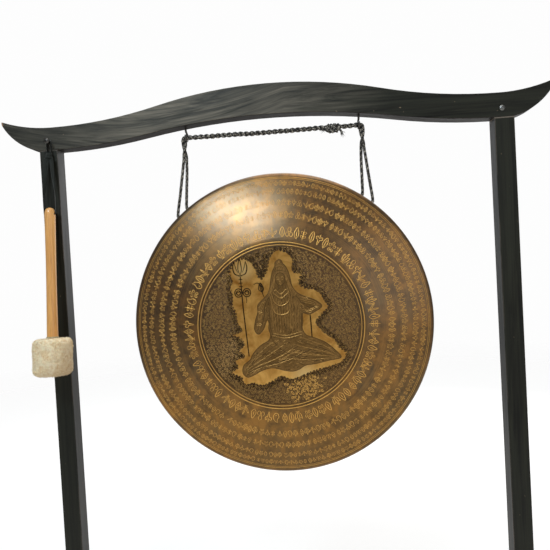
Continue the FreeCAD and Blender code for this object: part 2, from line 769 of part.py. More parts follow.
def make_mallet_head():
    """A wooden core on the handle, felt round it, and a fleece cover tied shut above and below."""
    core = new_body("mallet_core")
    half = "core_height / 2"
    section = draw_box(new_sketch(core, "XZ_Plane"), "handle_foot", f"-{half}", "core_radius", half)
    turn(core, "Revolution", section, "V_Axis")
    keep(place_on_mallet(core), "mallet_core")

    padding = new_body("mallet_padding")
    edge, lid = "(head_radius - cover_sheet)", "(head_height / 2 - cover_sheet)"
    corner = "(cover_corner - cover_sheet)"
    outline = [
        ("0", f"-{lid}"), (f"{edge} - {corner}", f"-{lid}"), (edge, f"-{lid} + {corner}"),
        (edge, f"{lid} - {corner}"), (f"{edge} - {corner}", lid), ("handle_foot", lid),
        ("handle_foot", half), ("core_radius", half), ("core_radius", f"-{half}"), ("0", f"-{half}"),
    ]
    arcs = {1: (corner, 1), 3: (corner, 1)}
    turn(padding, "Revolution", draw(new_sketch(padding, "XZ_Plane"), outline, arcs), "V_Axis")
    keep(place_on_mallet(padding), "mallet_padding")

    cover = new_body("mallet_cover")
    mouth = "handle_foot + 2 * binding_radius + 2 * binding_gap"
    outline = [
        ("0", "-head_height / 2"), ("head_radius - cover_corner", "-head_height / 2"),
        ("head_radius", "-head_height / 2 + cover_corner"), ("head_radius", "head_height / 2 - cover_corner"),
        ("head_radius - cover_corner", "head_height / 2"), (mouth, "head_height / 2"),
        (mouth, lid), (f"{edge} - {corner}", lid), (edge, f"{lid} - {corner}"),
        (edge, f"-{lid} + {corner}"), (f"{edge} - {corner}", f"-{lid}"), ("0", f"-{lid}"),
    ]
    arcs = {1: ("cover_corner", 1), 3: ("cover_corner", 1), 7: (corner, -1), 9: (corner, -1)}
    turn(cover, "Revolution", draw(new_sketch(cover, "XZ_Plane"), outline, arcs), "V_Axis")
    keep(place_on_mallet(cover), "mallet_cover")


def make_mallet_binding():
    """The waxed thread that gathers the cover's mouth round the handle."""
    binding = doc.addObject("Part::Torus", "mallet_binding")
    bind(binding, Radius1="handle_foot + binding_radius + binding_gap", Radius2="binding_radius")
    lift = "(head_height / 2 - binding_radius)"
    at = ("-mallet_reach", f"-mallet_stand + {lift} * sin(mallet_lean)",
          f"mallet_level + {lift} * cos(mallet_lean)")
    keep(place(binding, at, (1, 0, 0), "-mallet_lean"), "mallet_binding")


def make_strap_loop():
    """The top of the strap: a long flat loop that hangs on the peg bolt's shank."""
    body = new_body("strap_loop")
    sketch = new_sketch(body, "XZ_Plane")
    for wall in ("0", "strap_loop_sheet"):
        radius = f"(strap_loop_radius + {wall})"
        high = "bolt_radius + joint_play - strap_loop_radius"
        low = "strap_loop_radius - strap_loop_drop"
        draw(sketch, [
            (radius, low), (radius, high), ("0", f"{high} + {radius}"),
            (f"-{radius}", high), (f"-{radius}", low), ("0", f"{low} - {radius}"),
        ], {1: (radius, 1), 2: (radius, 1), 4: (radius, 1), 5: (radius, 1)})
    extrude(body, "Pad", sketch, "strap_loop_depth")
    place(body, ("-mallet_reach", "-beam_depth / 2 - 1 - strap_loop_depth / 2", "bolt_level"))
    keep(body, "strap_loop")


def make_strap_knot():
    knot = doc.addObject("Part::Sphere", "strap_knot")
    bind(knot, Radius="strap_knot_radius")
    at = ("-mallet_reach", "-beam_depth / 2 - strap_knot_radius - strap_knot_gap",
          "bolt_level - strap_loop_drop - strap_loop_sheet - strap_knot_radius")
    keep(place(knot, at), "strap_knot")


def make_strap_strands():
    """The strap's long loop, from below the knot down both sides of the handle and through its hole."""
    knot_foot = "(bolt_level - strap_loop_drop - strap_loop_sheet - 2 * strap_knot_radius - mallet_level)"
    head = value(f"{knot_foot} / cos(mallet_lean) - strap_pinch")
    side = value("handle_radius + strap_radius + 1")
    shoulder, hole, pinch = value("handle_top + strap_flare"), size("handle_hole"), size("strap_pinch")
    points = [(-pinch, head), (-side, shoulder), (-side, hole), (side, hole), (side, shoulder), (pinch, head)]
    path = [FreeCAD.Vector(x, 0, z) for x, z in points]
    strands = feature("strap_strands", rope(path, size("strap_bend"), size("strap_radius"), closed=True))
    keep(place_on_mallet(strands), "strap_strands")


# ---------------------------------------------------------------- the whole object
def make_everything():
    make_crossbeam()
    for name, side in SIDES.items():
        make_post(name, side)
        make_foot(name, side)
        make_hook(name, side)
        make_cord_drop(name, side)
        make_cord_bight(name, side)
    make_foot_pads()
    make_lower_rail()
    make_rail_dowels()
    make_beam_fasteners()
    make_foot_fasteners()
    make_rail_fasteners()
    make_cord_top_run()
    make_cord_knot()
    make_gong()
    make_mallet_handle()
    make_mallet_head()
    make_mallet_binding()
    make_strap_loop()
    make_strap_knot()
    make_strap_strands()


def check_and_export():
    doc.recompute()
    failed = [o.Name for o in doc.Objects if {"Invalid", "Error"} & set(o.State)]
    failed += [p.Label for p in parts if p.Shape.isNull() or not p.Shape.isValid()]
    failed += [p.Label for p in parts if not p.Shape.Solids]
    if failed:
        raise RuntimeError(f"these did not build: {failed}")
    os.makedirs("parts", exist_ok=True)
    for part in parts:
        part.Shape.exportStep(f"parts/{part.Label}.step")
        print(part.Label, len(part.Shape.Solids), round(part.Shape.Volume))


sheet = make_sheet()
probe = doc.addObject("App::FeaturePython", "probe")
probe.addProperty("App::PropertyFloat", "result")
make_everything()
check_and_export()
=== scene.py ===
"""The looks of the tam tam gong: bronze, engraving, braided cord, stained wood, ribbon and fleece.

Metres. +Z is up, +X runs along the crossbeam, and the gong's face looks along -Y.
"""

import math
import random

import bmesh
import bpy
import numpy as np
from mathutils import Matrix, Vector, noise
from mathutils.geometry import delaunay_2d_cdt


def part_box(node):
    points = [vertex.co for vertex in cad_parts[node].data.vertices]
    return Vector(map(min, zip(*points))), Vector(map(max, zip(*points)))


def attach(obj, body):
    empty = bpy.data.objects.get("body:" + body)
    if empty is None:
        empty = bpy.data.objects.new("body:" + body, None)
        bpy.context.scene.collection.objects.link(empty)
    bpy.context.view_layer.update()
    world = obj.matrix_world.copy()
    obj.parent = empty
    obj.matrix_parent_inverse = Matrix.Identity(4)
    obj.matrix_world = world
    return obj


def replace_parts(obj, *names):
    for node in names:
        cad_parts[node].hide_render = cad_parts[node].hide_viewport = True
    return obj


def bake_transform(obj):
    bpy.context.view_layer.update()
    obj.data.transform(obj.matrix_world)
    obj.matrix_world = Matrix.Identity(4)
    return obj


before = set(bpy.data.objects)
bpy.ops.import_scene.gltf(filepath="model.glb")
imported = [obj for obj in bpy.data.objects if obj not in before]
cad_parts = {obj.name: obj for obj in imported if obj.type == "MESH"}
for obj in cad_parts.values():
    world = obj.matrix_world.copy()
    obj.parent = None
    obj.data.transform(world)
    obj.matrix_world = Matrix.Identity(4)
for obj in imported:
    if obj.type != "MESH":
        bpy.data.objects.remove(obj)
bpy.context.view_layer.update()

MM = 0.001
TAU = 2 * math.pi


# ---------------------------------------------------------------- shader helpers
class Shader:
    """A node material, built with short calls. A socket given as an input is linked; a number is set."""

    def __init__(self, name):
        self.material = bpy.data.materials.new(name)
        self.material.use_nodes = True
        self.tree = self.material.node_tree
        self.tree.nodes.clear()
        self.place = self.node("ShaderNodeTexCoord").outputs["Object"]

    def node(self, kind, inputs=None, **settings):
        made = self.tree.nodes.new(kind)
        for name, value in settings.items():
            setattr(made, name, value)
        for key, value in (inputs or {}).items():
            if isinstance(value, bpy.types.NodeSocket):
                self.tree.links.new(value, made.inputs[key])
            else:
                made.inputs[key].default_value = value
        return made

    def stretch(self, scale, vector=None):
        """The object's coordinates, scaled; a low number on an axis draws the texture out along it."""
        made = self.node("ShaderNodeMapping", {"Vector": vector or self.place, "Scale": scale})
        return made.outputs["Vector"]

    def noise(self, scale, detail=4.0, rough=0.55, vector=None, distortion=0.0):
        inputs = {"Vector": vector or self.place, "Scale": scale, "Detail": detail,
                  "Roughness": rough, "Distortion": distortion}
        return self.node("ShaderNodeTexNoise", inputs).outputs["Fac"]

    def streaks(self, scale, detail, rough, distortion=0.0, vector=None):
        """Noise that is drawn out along the axis with the lowest scale."""
        return self.noise(1.0, detail, rough, self.stretch(scale, vector), distortion)

    def ramp(self, value, *stops):
        """Maps a value through (position, grey) stops; positions run from 0 to 1."""
        made = self.node("ShaderNodeValToRGB", {"Fac": value})
        elements = made.color_ramp.elements
        while len(elements) < len(stops):
            elements.new(0.5)
        for element, (position, grey) in zip(elements, stops):
            element.position = position
            element.color = (grey, grey, grey, 1)
        return made.outputs["Color"]

    def math(self, operation, a, b=0.0, clamp=False):
        return self.node("ShaderNodeMath", {0: a, 1: b}, operation=operation, use_clamp=clamp).outputs[0]

    def times(self, a, b):
        return self.math("MULTIPLY", a, b)

    def vector(self, operation, a, b=(0, 0, 0)):
        """The outputs of a vector sum: 0 is a vector and Value is a number."""
        return self.node("ShaderNodeVectorMath", {0: a, 1: b}, operation=operation).outputs

    def split(self, vector=None):
        """A vector's X, Y and Z; the object's coordinates unless one is given."""
        return self.node("ShaderNodeSeparateXYZ", {0: vector or self.place}).outputs

    def facing(self):
        """X, Y and Z of the direction that the surface faces."""
        return self.split(self.node("ShaderNodeNewGeometry").outputs["Normal"])

    def mix(self, amount, low, high):
        """Mixes two colours."""
        made = self.node("ShaderNodeMix", data_type="RGBA")
        for index, value in ((0, amount), (6, low), (7, high)):
            if isinstance(value, bpy.types.NodeSocket):
                self.tree.links.new(value, made.inputs[index])
            else:
                made.inputs[index].default_value = value if index == 0 else (*value, 1)
        return made.outputs[2]

    def cover(self, colour, value, stops, top):
        """Lays a second colour over the first, as strongly as the ramp of a value says."""
        return self.mix(self.ramp(value, *stops), colour, top)

    def bump(self, height, distance, strength=1.0, below=None):
        inputs = {"Height": height, "Distance": distance, "Strength": strength}
        if below is not None:
            inputs["Normal"] = below
        return self.node("ShaderNodeBump", inputs).outputs["Normal"]

    def edges(self, radius):
        """About 0 on flat faces and rising to 1 on sharp edges."""
        rounded = self.node("ShaderNodeBevel", {"Radius": radius}, samples=6).outputs["Normal"]
        flat = self.node("ShaderNodeNewGeometry").outputs["Normal"]
        return self.math("SUBTRACT", 1.0, self.vector("DOT_PRODUCT", rounded, flat)["Value"], clamp=True)

    def finish(self, colour, roughness, normal, **inputs):
        values = {"Base Color": colour, "Roughness": roughness, "Normal": normal, **inputs}
        surface = self.node("ShaderNodeBsdfPrincipled", values)
        self.node("ShaderNodeOutputMaterial", {"Surface": surface.outputs[0]})
        return self.material


# ---------------------------------------------------------------- materials
def along(axis, fine, coarse=1.0):
    """A texture scale that draws the pattern out along one axis."""
    return tuple(coarse if letter == axis else fine for letter in "XYZ")


BEAM_REACH = -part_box("crossbeam")[0].x
POST_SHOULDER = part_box("crossbeam")[0].z


def stained_wood(axis, faded=0.0):
    """Open-grained wood under a black stain, rubbed through to brown on its edges, with a few small chips.

    Faded is how strongly a painted sheen of the key light greys the stain left of the middle."""
    shader = Shader(f"black_stained_wood_{axis}")
    place, spot, facing, upright = shader.place, shader.split(), shader.facing(), axis == "Z"
    if axis == "X":
        # the grain follows the beam's arch
        off = shader.math("MINIMUM", shader.math("ADD", spot["X"], 0.30), 0.34)
        level = shader.math("ADD", spot["Z"], shader.times(shader.times(off, off), -0.42))
        place = shader.node("ShaderNodeCombineXYZ", {"X": spot["X"], "Y": spot["Y"], "Z": level}).outputs[0]
    bend = shader.noise(1.6, 2.0, vector=shader.stretch(along(axis, 6.0), place))
    pores = shader.streaks(along(axis, 160.0, 5.0), 5.0, 0.7, 0.4, place)
    figure = shader.streaks(along(axis, 42.0, 1.6), 3.0, 0.6, 1.2, place)
    grain = shader.times(shader.ramp(pores, (0.38, 0.0), (0.66, 1.0)), figure)
    stain = shader.mix(grain, (0.0022, 0.0022, 0.0009), (0.037, 0.037, 0.022))
    stain = shader.cover(stain, figure, ((0.44, 0.0), (0.62, 0.5)), (0.022, 0.023, 0.015))
    stain = shader.cover(stain, bend, ((0.35, 0.0), (0.75, 0.5)), (0.014, 0.015, 0.010))
    if upright:
        # Painted sheen: the posts' side faces are lightened to grey, as where light glances off them.
        side_face_sheen = shader.math("ABSOLUTE", facing["X"])
        stain = shader.cover(stain, side_face_sheen, ((0.6, 0.0), (0.9, 0.8)), (0.060, 0.060, 0.060))
    # Painted sheen: left of the middle the beam's front and back faces are lightened to grey-brown in streaks
    # along the grain, standing in for the key light glancing off them.
    if faded:
        reach = shader.ramp(shader.math("ADD", spot["X"], 0.5),
                            (0.0, 0.35), (0.17, 1.0), (0.50, 0.86), (0.78, 0.0))
        drift = shader.streaks((4.0, 30.0, 34.0), 4.0, 0.62, 1.8, place)
        front = shader.ramp(shader.math("ABSOLUTE", facing["Y"]), (0.5, 0.0), (0.8, 1.0))
        share = shader.times(shader.times(reach, shader.ramp(drift, (0.36, 0.15), (0.60, 1.0))),
                             shader.times(front, faded))
        stain = shader.mix(share, stain, shader.mix(grain, (0.102, 0.090, 0.066), (0.350, 0.305, 0.236)))
        from_tip = shader.times(shader.math("ADD", spot["X"], BEAM_REACH), 100.0)
        stain = shader.cover(stain, from_tip, ((0.20, 0.9), (0.45, 0.0)), (0.360, 0.200, 0.105))
    if axis == "X":
        # Painted shade: the beam's underside is darkened, with a purple cast.
        below = shader.times(facing["Z"], -1.0)
        stain = shader.cover(stain, below, ((0.5, 0.0), (0.8, 0.92)), (0.0060, 0.0034, 0.0034))
    rubbing = shader.ramp(shader.noise(9.0, 4.0), (0.40, 0.0), (0.60, 16.0 if upright else 5.0))
    edge = shader.math("MULTIPLY", shader.edges(3.0 * MM), rubbing, clamp=True)
    worn = shader.mix(edge, stain, (0.130, 0.108, 0.088) if upright else (0.070, 0.052, 0.036))
    if upright:
        gap = shader.math("ABSOLUTE", shader.math("SUBTRACT", spot["Z"], POST_SHOULDER - 1.2 * MM))
        rubbed = shader.times(shader.ramp(shader.times(gap, 100.0), (0.10, 0.8), (0.17, 0.0)),
                              shader.math("GREATER_THAN", spot["X"], 0.0))
        worn = shader.mix(rubbed, worn, (0.190, 0.155, 0.120))
    flecks = shader.noise(95.0, 2.0, vector=shader.stretch(along(axis, 1.6)))
    worn = shader.cover(worn, flecks, ((0.75, 0.0), (0.78, 1.0)), (0.21, 0.15, 0.095))
    relief = shader.bump(figure, 0.6 * MM, 0.25, shader.bump(pores, 0.25 * MM, 0.5))
    rough = shader.ramp(grain, (0.0, 0.42), (0.6, 0.62))
    return shader.finish(worn, rough, relief, **{"Specular IOR Level": 0.24})


def handle_wood():
    """Pale turned wood with fine streaks under an amber varnish."""
    shader = Shader("varnished_wood")
    streaks = shader.streaks((210.0, 210.0, 6.0), 5.0, 0.65, 0.3)
    bands = shader.streaks((60.0, 60.0, 1.8), 3.0, 0.5, 1.0)
    colour = shader.cover((0.72, 0.325, 0.084), bands, ((0.3, 0.0), (0.7, 1.0)), (0.84, 0.445, 0.138))
    colour = shader.cover(colour, streaks, ((0.42, 0.0), (0.72, 0.75)), (0.44, 0.18, 0.05))
    relief = shader.bump(streaks, 0.08 * MM, 0.5)
    return shader.finish(colour, 0.36, relief, **{"Coat Weight": 0.3, "Coat Roughness": 0.25})


def bare_wood():
    shader = Shader("plain_wood")
    streaks = shader.streaks((8.0, 180.0, 180.0), 5.0, 0.65)
    colour = shader.mix(streaks, (0.50, 0.34, 0.19), (0.68, 0.52, 0.33))
    return shader.finish(colour, 0.6, shader.bump(streaks, 0.1 * MM))


def lathe_marks(shader, centre):
    """Fine rings round the gong's axis, as noise read by distance from the centre; and that distance."""
    flat = shader.vector("MULTIPLY", shader.vector("SUBTRACT", shader.place, centre)[0], (1, 0, 1))[0]
    radius = shader.vector("LENGTH", flat)["Value"]
    far = shader.node("ShaderNodeCombineXYZ", {"X": shader.times(radius, 900.0)}).outputs[0]
    spot = shader.vector("ADD", far, shader.vector("NORMALIZE", flat)[0])[0]
    return shader.noise(1.0, 3.0, 0.6, vector=spot), radius


def patina(centre):
    """Dark bronze: brown with olive and grey blotches, brushed in rings, its polish cloudy, and lightened low
    down by a painted reflection of the floor.
    """
    shader = Shader("bronze_patina")
    rings, radius = lathe_marks(shader, centre)
    spot = shader.split()
    clouds = shader.noise(5.5, 5.0, 0.6, distortion=0.6)
    spots = shader.noise(38.0, 5.0, 0.65)
    smears = shader.streaks((26.0, 26.0, 9.0), 4.0, 0.62, 1.4)
    brown = shader.cover((0.236, 0.101, 0.017), clouds, ((0.36, 0.0), (0.62, 1.0)), (0.142, 0.072, 0.018))
    brown = shader.cover(brown, shader.noise(2.4, 3.0), ((0.42, 0.0), (0.66, 0.8)), (0.310, 0.137, 0.021))
    # Painted reflection: low on the gong the brown is lightened and warmed, as where it faces the pale floor.
    low = shader.ramp(shader.math("SUBTRACT", spot["Z"], 0.5), (0.25, 1.0), (0.50, 0.0))
    brown = shader.mix(shader.times(low, 0.4), brown, (0.340, 0.158, 0.028))
    for value, stops, tone in (
            (shader.noise(3.6, 4.0, 0.6, distortion=1.0), ((0.48, 0.0), (0.66, 0.9)), (0.092, 0.065, 0.028)),
            (smears, ((0.48, 0.0), (0.70, 0.85)), (0.072, 0.053, 0.026)),
            (spots, ((0.42, 0.0), (0.66, 0.9)), (0.050, 0.027, 0.008)),
            (rings, ((0.35, 0.0), (0.75, 0.5)), (0.40, 0.205, 0.050))):
        brown = shader.cover(brown, value, stops, tone)
    front = shader.math("GREATER_THAN", 0.0, shader.facing()["Y"])
    middle = shader.times(shader.ramp(radius, (0.1775, 0.85), (0.1800, 0.0)), front)
    ground = shader.cover((0.076, 0.039, 0.011), shader.math("ADD", 0.5, spot["X"]),
                          ((0.46, 0.0), (0.62, 1.0)), (0.138, 0.070, 0.020))
    brown = shader.mix(middle, brown, ground)
    rough = shader.math("ADD", shader.ramp(clouds, (0.3, 0.26), (0.7, 0.36)), shader.times(rings, 0.08))
    relief = None
    for height, distance, strength in ((rings, 0.03, 0.5), (spots, 0.14, 0.4), (smears, 0.5, 0.3),
                                       (shader.noise(16.0, 2.0), 1.4, 0.25)):
        relief = shader.bump(height, distance * MM, strength, relief)
    polish = shader.math("SUBTRACT", 0.7, shader.times(low, 0.45))
    return shader.finish(brown, rough, relief, **{
        "Metallic": 1.0, "Coat Weight": polish, "Coat Roughness": 0.29, "Coat IOR": 1.65})


def cut_line(name, scale, low, high, rough, detail=3.0, metallic=1.0, light=None):
    """Bare bronze or dark oxide in an engraved line; light is a brighter tone that comes and goes."""
    shader = Shader(name)
    colour = shader.mix(shader.noise(scale, detail), low, high)
    if light:
        colour = shader.cover(colour, shader.noise(9.0, 3.0), ((0.5, 0.0), (0.72, 1.0)), light)
    return shader.finish(colour, rough, shader.bump(shader.noise(900.0), 0.05 * MM, 0.5), Metallic=metallic)


def polished_gold():
    """Bronze polished back to gold, with soft brown clouds, fine scratches and two painted highlights."""
    shader = Shader("polished_bronze")
    clouds = shader.noise(26.0, 4.0, 0.6, distortion=0.8)
    scratches = shader.streaks((90.0, 400.0, 900.0), 3.0, 0.7)
    colour = shader.cover((0.50, 0.215, 0.040), clouds, ((0.32, 0.0), (0.68, 1.0)), (1.0, 0.57, 0.155))
    rough = shader.math("ADD", 0.24, shader.times(scratches, 0.16))
    relief = shader.bump(scratches, 0.02 * MM, 0.5, shader.bump(clouds, 0.4 * MM, 0.3))
    # Painted highlights: two soft bright spots, under the lap and by the staff's head.
    for flat, size in (((48, -112), 36 * MM), ((-76, 128), 30 * MM)):
        away = shader.vector("DISTANCE", shader.place, tuple(on_face([flat], 0)[0]))["Value"]
        colour = shader.cover(colour, shader.math("DIVIDE", away, size), ((0.2, 0.85), (1.0, 0.0)),
                              (1.0, 0.68, 0.27))
    return shader.finish(colour, rough, relief, Metallic=1.0)


def figure_bronze():
    shader = Shader("figure_bronze")
    grain = shader.noise(420.0, 3.0, 0.7)
    colour = shader.cover((0.200, 0.108, 0.034), shader.noise(34.0, 4.0, 0.6), ((0.3, 0.0), (0.7, 1.0)),
                          (0.330, 0.186, 0.062))
    colour = shader.cover(colour, grain, ((0.5, 0.0), (0.7, 0.5)), (0.090, 0.046, 0.015))
    return shader.finish(colour, 0.44, shader.bump(grain, 0.06 * MM, 0.5), Metallic=1.0)


def metal(name, low, high):
    """Plated or blackened steel with a slightly cloudy polish and fine scratches."""
    shader = Shader(name)
    scratches = shader.streaks((1400.0, 200.0, 1400.0), 3.0, 0.7)
    rough = shader.math("ADD", 0.32, shader.times(scratches, 0.15))
    return shader.finish(shader.mix(shader.noise(70.0, 4.0), low, high), rough,
                         shader.bump(scratches, 0.02 * MM, 0.5), Metallic=1.0)


def rubber():
    shader = Shader("rubber_pad")
    grain = shader.noise(500.0, 3.0)
    return shader.finish(shader.mix(grain, (0.018, 0.018, 0.018), (0.04, 0.04, 0.04)), 0.75,
                         shader.bump(grain, 0.15 * MM))


def yarn(name, low, high):
    """One yarn of the braid: fine twisted fibres with a dull sheen."""
    shader = Shader(name)
    fibres = shader.noise(1500.0, 3.0, 0.6)
    worn = shader.ramp(shader.noise(260.0, 2.0, 0.6), (0.40, 0.0), (0.60, 1.0))
    return shader.finish(shader.mix(shader.times(fibres, worn), low, high), 0.8,
                         shader.bump(fibres, 0.15 * MM, 0.8), **{
        "Sheen Weight": 0.1, "Sheen Roughness": 0.5, "Specular IOR Level": 0.25})


def ribbon_cloth():
    """Black woven ribbon: ribs across it, with a green cast where it has faded."""
    shader = Shader("black_ribbon")
    ribs = shader.node("ShaderNodeTexWave", {"Vector": shader.place, "Scale": 420.0, "Distortion": 0.6},
                       wave_type="BANDS", bands_direction="Z").outputs["Fac"]
    colour = shader.mix(shader.times(ribs, shader.noise(45.0, 3.0)),
                        (0.006, 0.007, 0.005), (0.026, 0.030, 0.022))
    return shader.finish(colour, 0.8, shader.bump(ribs, 0.12 * MM, 0.6), **{
        "Sheen Weight": 0.15, "Sheen Roughness": 0.45, "Specular IOR Level": 0.25})


def felt():
    shader = Shader("felt")
    fibres = shader.noise(260.0, 5.0, 0.7, distortion=1.5)
    return shader.finish(shader.mix(fibres, (0.48, 0.45, 0.39), (0.72, 0.69, 0.62)), 0.95,
                         shader.bump(fibres, 0.5 * MM), **{"Sheen Weight": 0.4})


def fleece(darker_from, darker_to):
    """Cream wool, darker tan low on its right-hand side."""
    shader = Shader("fleece")
    curls = shader.noise(150.0, 4.0, 0.65, distortion=1.0)
    clumps = shader.noise(48.0, 3.0)
    colour = shader.cover((0.76, 0.52, 0.26), curls, ((0.32, 0.0), (0.62, 1.0)), (1.0, 0.87, 0.60))
    colour = shader.cover(colour, clumps, ((0.4, 0.0), (0.7, 0.55)), (1.0, 0.93, 0.73))
    # The wool turns darker tan towards the low right-hand side of the head, broken up by the clumps.
    reach = darker_to - darker_from
    shifted = shader.vector("SUBTRACT", shader.place, darker_from)[0]
    share = shader.vector("DOT_PRODUCT", shifted, reach / reach.length_squared)["Value"]
    darkening = shader.times(shader.ramp(share, (0.0, 0.0), (1.0, 0.8)),
                        shader.ramp(clumps, (0.3, 1.0), (0.8, 0.5)))
    colour = shader.mix(darkening, colour, (0.46, 0.29, 0.13))
    return shader.finish(colour, 0.95, shader.bump(curls, 0.7 * MM, 0.7), **{
        "Sheen Weight": 0.15, "Sheen Roughness": 0.6, "Subsurface Weight": 0.08,
        "Subsurface Radius": (0.004, 0.003, 0.002)})


# ---------------------------------------------------------------- mesh helpers
def make_piece(name, vertices, faces, materials, shades=None, smooth=True, body=None):
    """A mesh object from lists; shades gives each face's material number."""
    mesh = bpy.data.meshes.new(name)
    mesh.from_pydata([tuple(v) for v in vertices], [], [tuple(int(i) for i in f) for f in faces])
    for material in materials:
        mesh.materials.append(material)
    if shades is not None:
        mesh.polygons.foreach_set("material_index", np.asarray(shades, np.int32))
    mesh.polygons.foreach_set("use_smooth", np.full(len(mesh.polygons), smooth))
    mesh.validate()
    mesh.update()
    piece = bpy.data.objects.new(name, mesh)
    bpy.context.scene.collection.objects.link(piece)
    if body:
        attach(piece, body)
    return piece


def tube_faces(rows, sides, start=0):
    """Quads between rows of a tube whose rings have that many points, with flat ends."""
    faces = []
    for low in range(start, start + (rows - 1) * sides, sides):
        for side in range(sides):
            after = (side + 1) % sides
            faces.append((low + side, low + after, low + sides + after, low + sides + side))
    last = start + (rows - 1) * sides
    return faces + [tuple(start + side for side in reversed(range(sides))), tuple(range(last, last + sides))]


def smooth_path(points, step, closed=False):
    """A Catmull-Rom curve through the points, read at an even step."""
    p = np.array(points, float)
    if closed:
        p = np.vstack([p[-1], p, p[0], p[1]])
    else:
        p = np.vstack([2 * p[0] - p[1], p, 2 * p[-1] - p[-2]])
    spans = []
    for a, b, c, d in zip(p, p[1:], p[2:], p[3:]):
        t = np.linspace(0, 1, 24, endpoint=False)[:, None]
        spans.append(0.5 * (2 * b + (c - a) * t + (2 * a - 5 * b + 4 * c - d) * t**2
                            + (3 * b - a - 3 * c + d) * t**3))
    dense = np.vstack(spans + [p[-2][None]])
    return even(dense, step)


def unit(vectors):
    """The same rows, each of length 1."""
    return vectors / np.maximum(np.linalg.norm(vectors, axis=1), 1e-9)[:, None]


def run_length(path):
    """How far along the path each of its points is."""
    return np.r_[0, np.cumsum(np.linalg.norm(np.diff(path, axis=0), axis=1))]


def even(dense, step):
    """The same polyline, read at an even step."""
    length = run_length(dense)
    wanted = np.linspace(0, length[-1], max(2, int(round(length[-1] / step)) + 1))
    return np.stack([np.interp(wanted, length, column) for column in dense.T], 1)


def frames(path, up=(0, 1, 0)):
    """Two normals at each point, carried along the path without twisting."""
    tangents = unit(np.gradient(path, axis=0))
    normal = np.array(up, float)
    first = []
    for tangent in tangents:
        normal = normal - tangent * (normal @ tangent)
        normal /= np.linalg.norm(normal)
        first.append(normal)
    return np.array(first), np.cross(tangents, first)


def sweep(path, radius, sides, up=(0, 1, 0)):
    """Vertices of a round tube along a path; radius may vary along it."""
    first, second = frames(path, up)
    turn = np.arange(sides) * TAU / sides
    ring = np.cos(turn)[None, :, None] * first[:, None] + np.sin(turn)[None, :, None] * second[:, None]
    size = np.broadcast_to(np.asarray(radius, float), (len(path),))[:, None, None]
    return (path[:, None] + ring * size).reshape(-1, 3)


def drill(piece, spots, radius, depth):
    """Cuts round holes through a piece; each spot is a matrix whose z is a hole's axis."""
    tool = bmesh.new()
    for spot in spots:
        bmesh.ops.create_cone(tool, cap_ends=True, segments=24, radius1=radius, radius2=radius, depth=depth,
                              matrix=spot)
    mesh = bpy.data.meshes.new("drills")
    tool.to_mesh(mesh)
    tool.free()
    drills = bpy.data.objects.new("drills", mesh)
    bpy.context.scene.collection.objects.link(drills)
    cut = piece.modifiers.new("holes", "BOOLEAN")
    cut.object, cut.operation, cut.solver = drills, "DIFFERENCE", "EXACT"
    bpy.context.view_layer.update()
    drilled = bpy.data.meshes.new_from_object(piece.evaluated_get(bpy.context.evaluated_depsgraph_get()))
    piece.modifiers.clear()
    piece.data = drilled
    bpy.data.objects.remove(drills)


# ---------------------------------------------------------------- stand and fasteners
def repaint(node, material):
    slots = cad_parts[node].material_slots
    for held in slots:
        held.material = material
    if not slots:
        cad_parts[node].data.materials.append(material)


def soften(node):
    """Rounds the sharp edges of a turned or stamped steel part a little."""
    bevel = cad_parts[node].modifiers.new("worn_edges", "BEVEL")
    bevel.width, bevel.segments = 0.3 * MM, 2
    bevel.limit_method, bevel.angle_limit = "ANGLE", math.radians(40)


def dress_nodes():
    """Materials for the pieces that keep their CAD meshes."""
    looks = (
        (stained_wood("X"), ("lower_rail",)),
        (stained_wood("Y"), ("left_foot", "right_foot")),
        (stained_wood("Z"), ("left_post", "right_post")),
        (stained_wood("X", faded=0.9), ("crossbeam",)),
        (bare_wood(), ("rail_dowels", "mallet_core")),
        (rubber(), ("foot_pads",)),
        (felt(), ("mallet_padding",)),
        (metal("plated_steel", (0.11, 0.11, 0.105), (0.30, 0.30, 0.285)),
         ("right_beam_bolt", "beam_washers", "beam_nuts", "foot_bolts", "foot_washers", "foot_nuts",
          "rail_bolts", "rail_washers", "rail_barrel_nuts")),
        (metal("dark_steel", (0.055, 0.052, 0.048), (0.14, 0.13, 0.12)),
         ("left_hook", "right_hook", "mallet_peg_bolt")))
    for material, nodes in looks:
        for node in nodes:
            repaint(node, material)
    for node in ("beam_washers", "beam_nuts", "foot_washers", "foot_nuts", "rail_washers"):
        soften(node)


dress_nodes()


# ---------------------------------------------------------------- the gong's shape
GONG_LOW, GONG_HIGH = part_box("gong")
GONG_X, GONG_Z = (GONG_LOW.x + GONG_HIGH.x) / 2, (GONG_LOW.z + GONG_HIGH.z) / 2
GONG_RADIUS = (GONG_HIGH.x - GONG_LOW.x) / 2
GONG_BACK = GONG_HIGH.y
SHEET = 2.0 * MM
HANG_Y = 4.0 * MM
LIP = 0.6 * MM
KNEE, KNEE_Y, NOSE_Y = 0.190, -0.061, -0.063
EDGE_RADIUS, EDGE_Y = 342.10 * MM, -17.28 * MM
ROLL, ROLL_X, ROLL_Y = 0.012, 0.338, -0.006
BAND_RADIUS = 1.130


def band_centre():
    """Centre of the arc that the sloping band follows, from the crown's knee to the rolled edge."""
    out, back = EDGE_RADIUS - KNEE, EDGE_Y - KNEE_Y
    chord = math.hypot(out, back)
    rise = math.sqrt(BAND_RADIUS**2 - chord**2 / 4)
    return KNEE + out / 2 - back / chord * rise, KNEE_Y + back / 2 + out / chord * rise


BAND_X, BAND_Y = band_centre()
CROWN_RADIUS = (KNEE**2 + (KNEE_Y - NOSE_Y)**2) / (2 * (KNEE_Y - NOSE_Y))


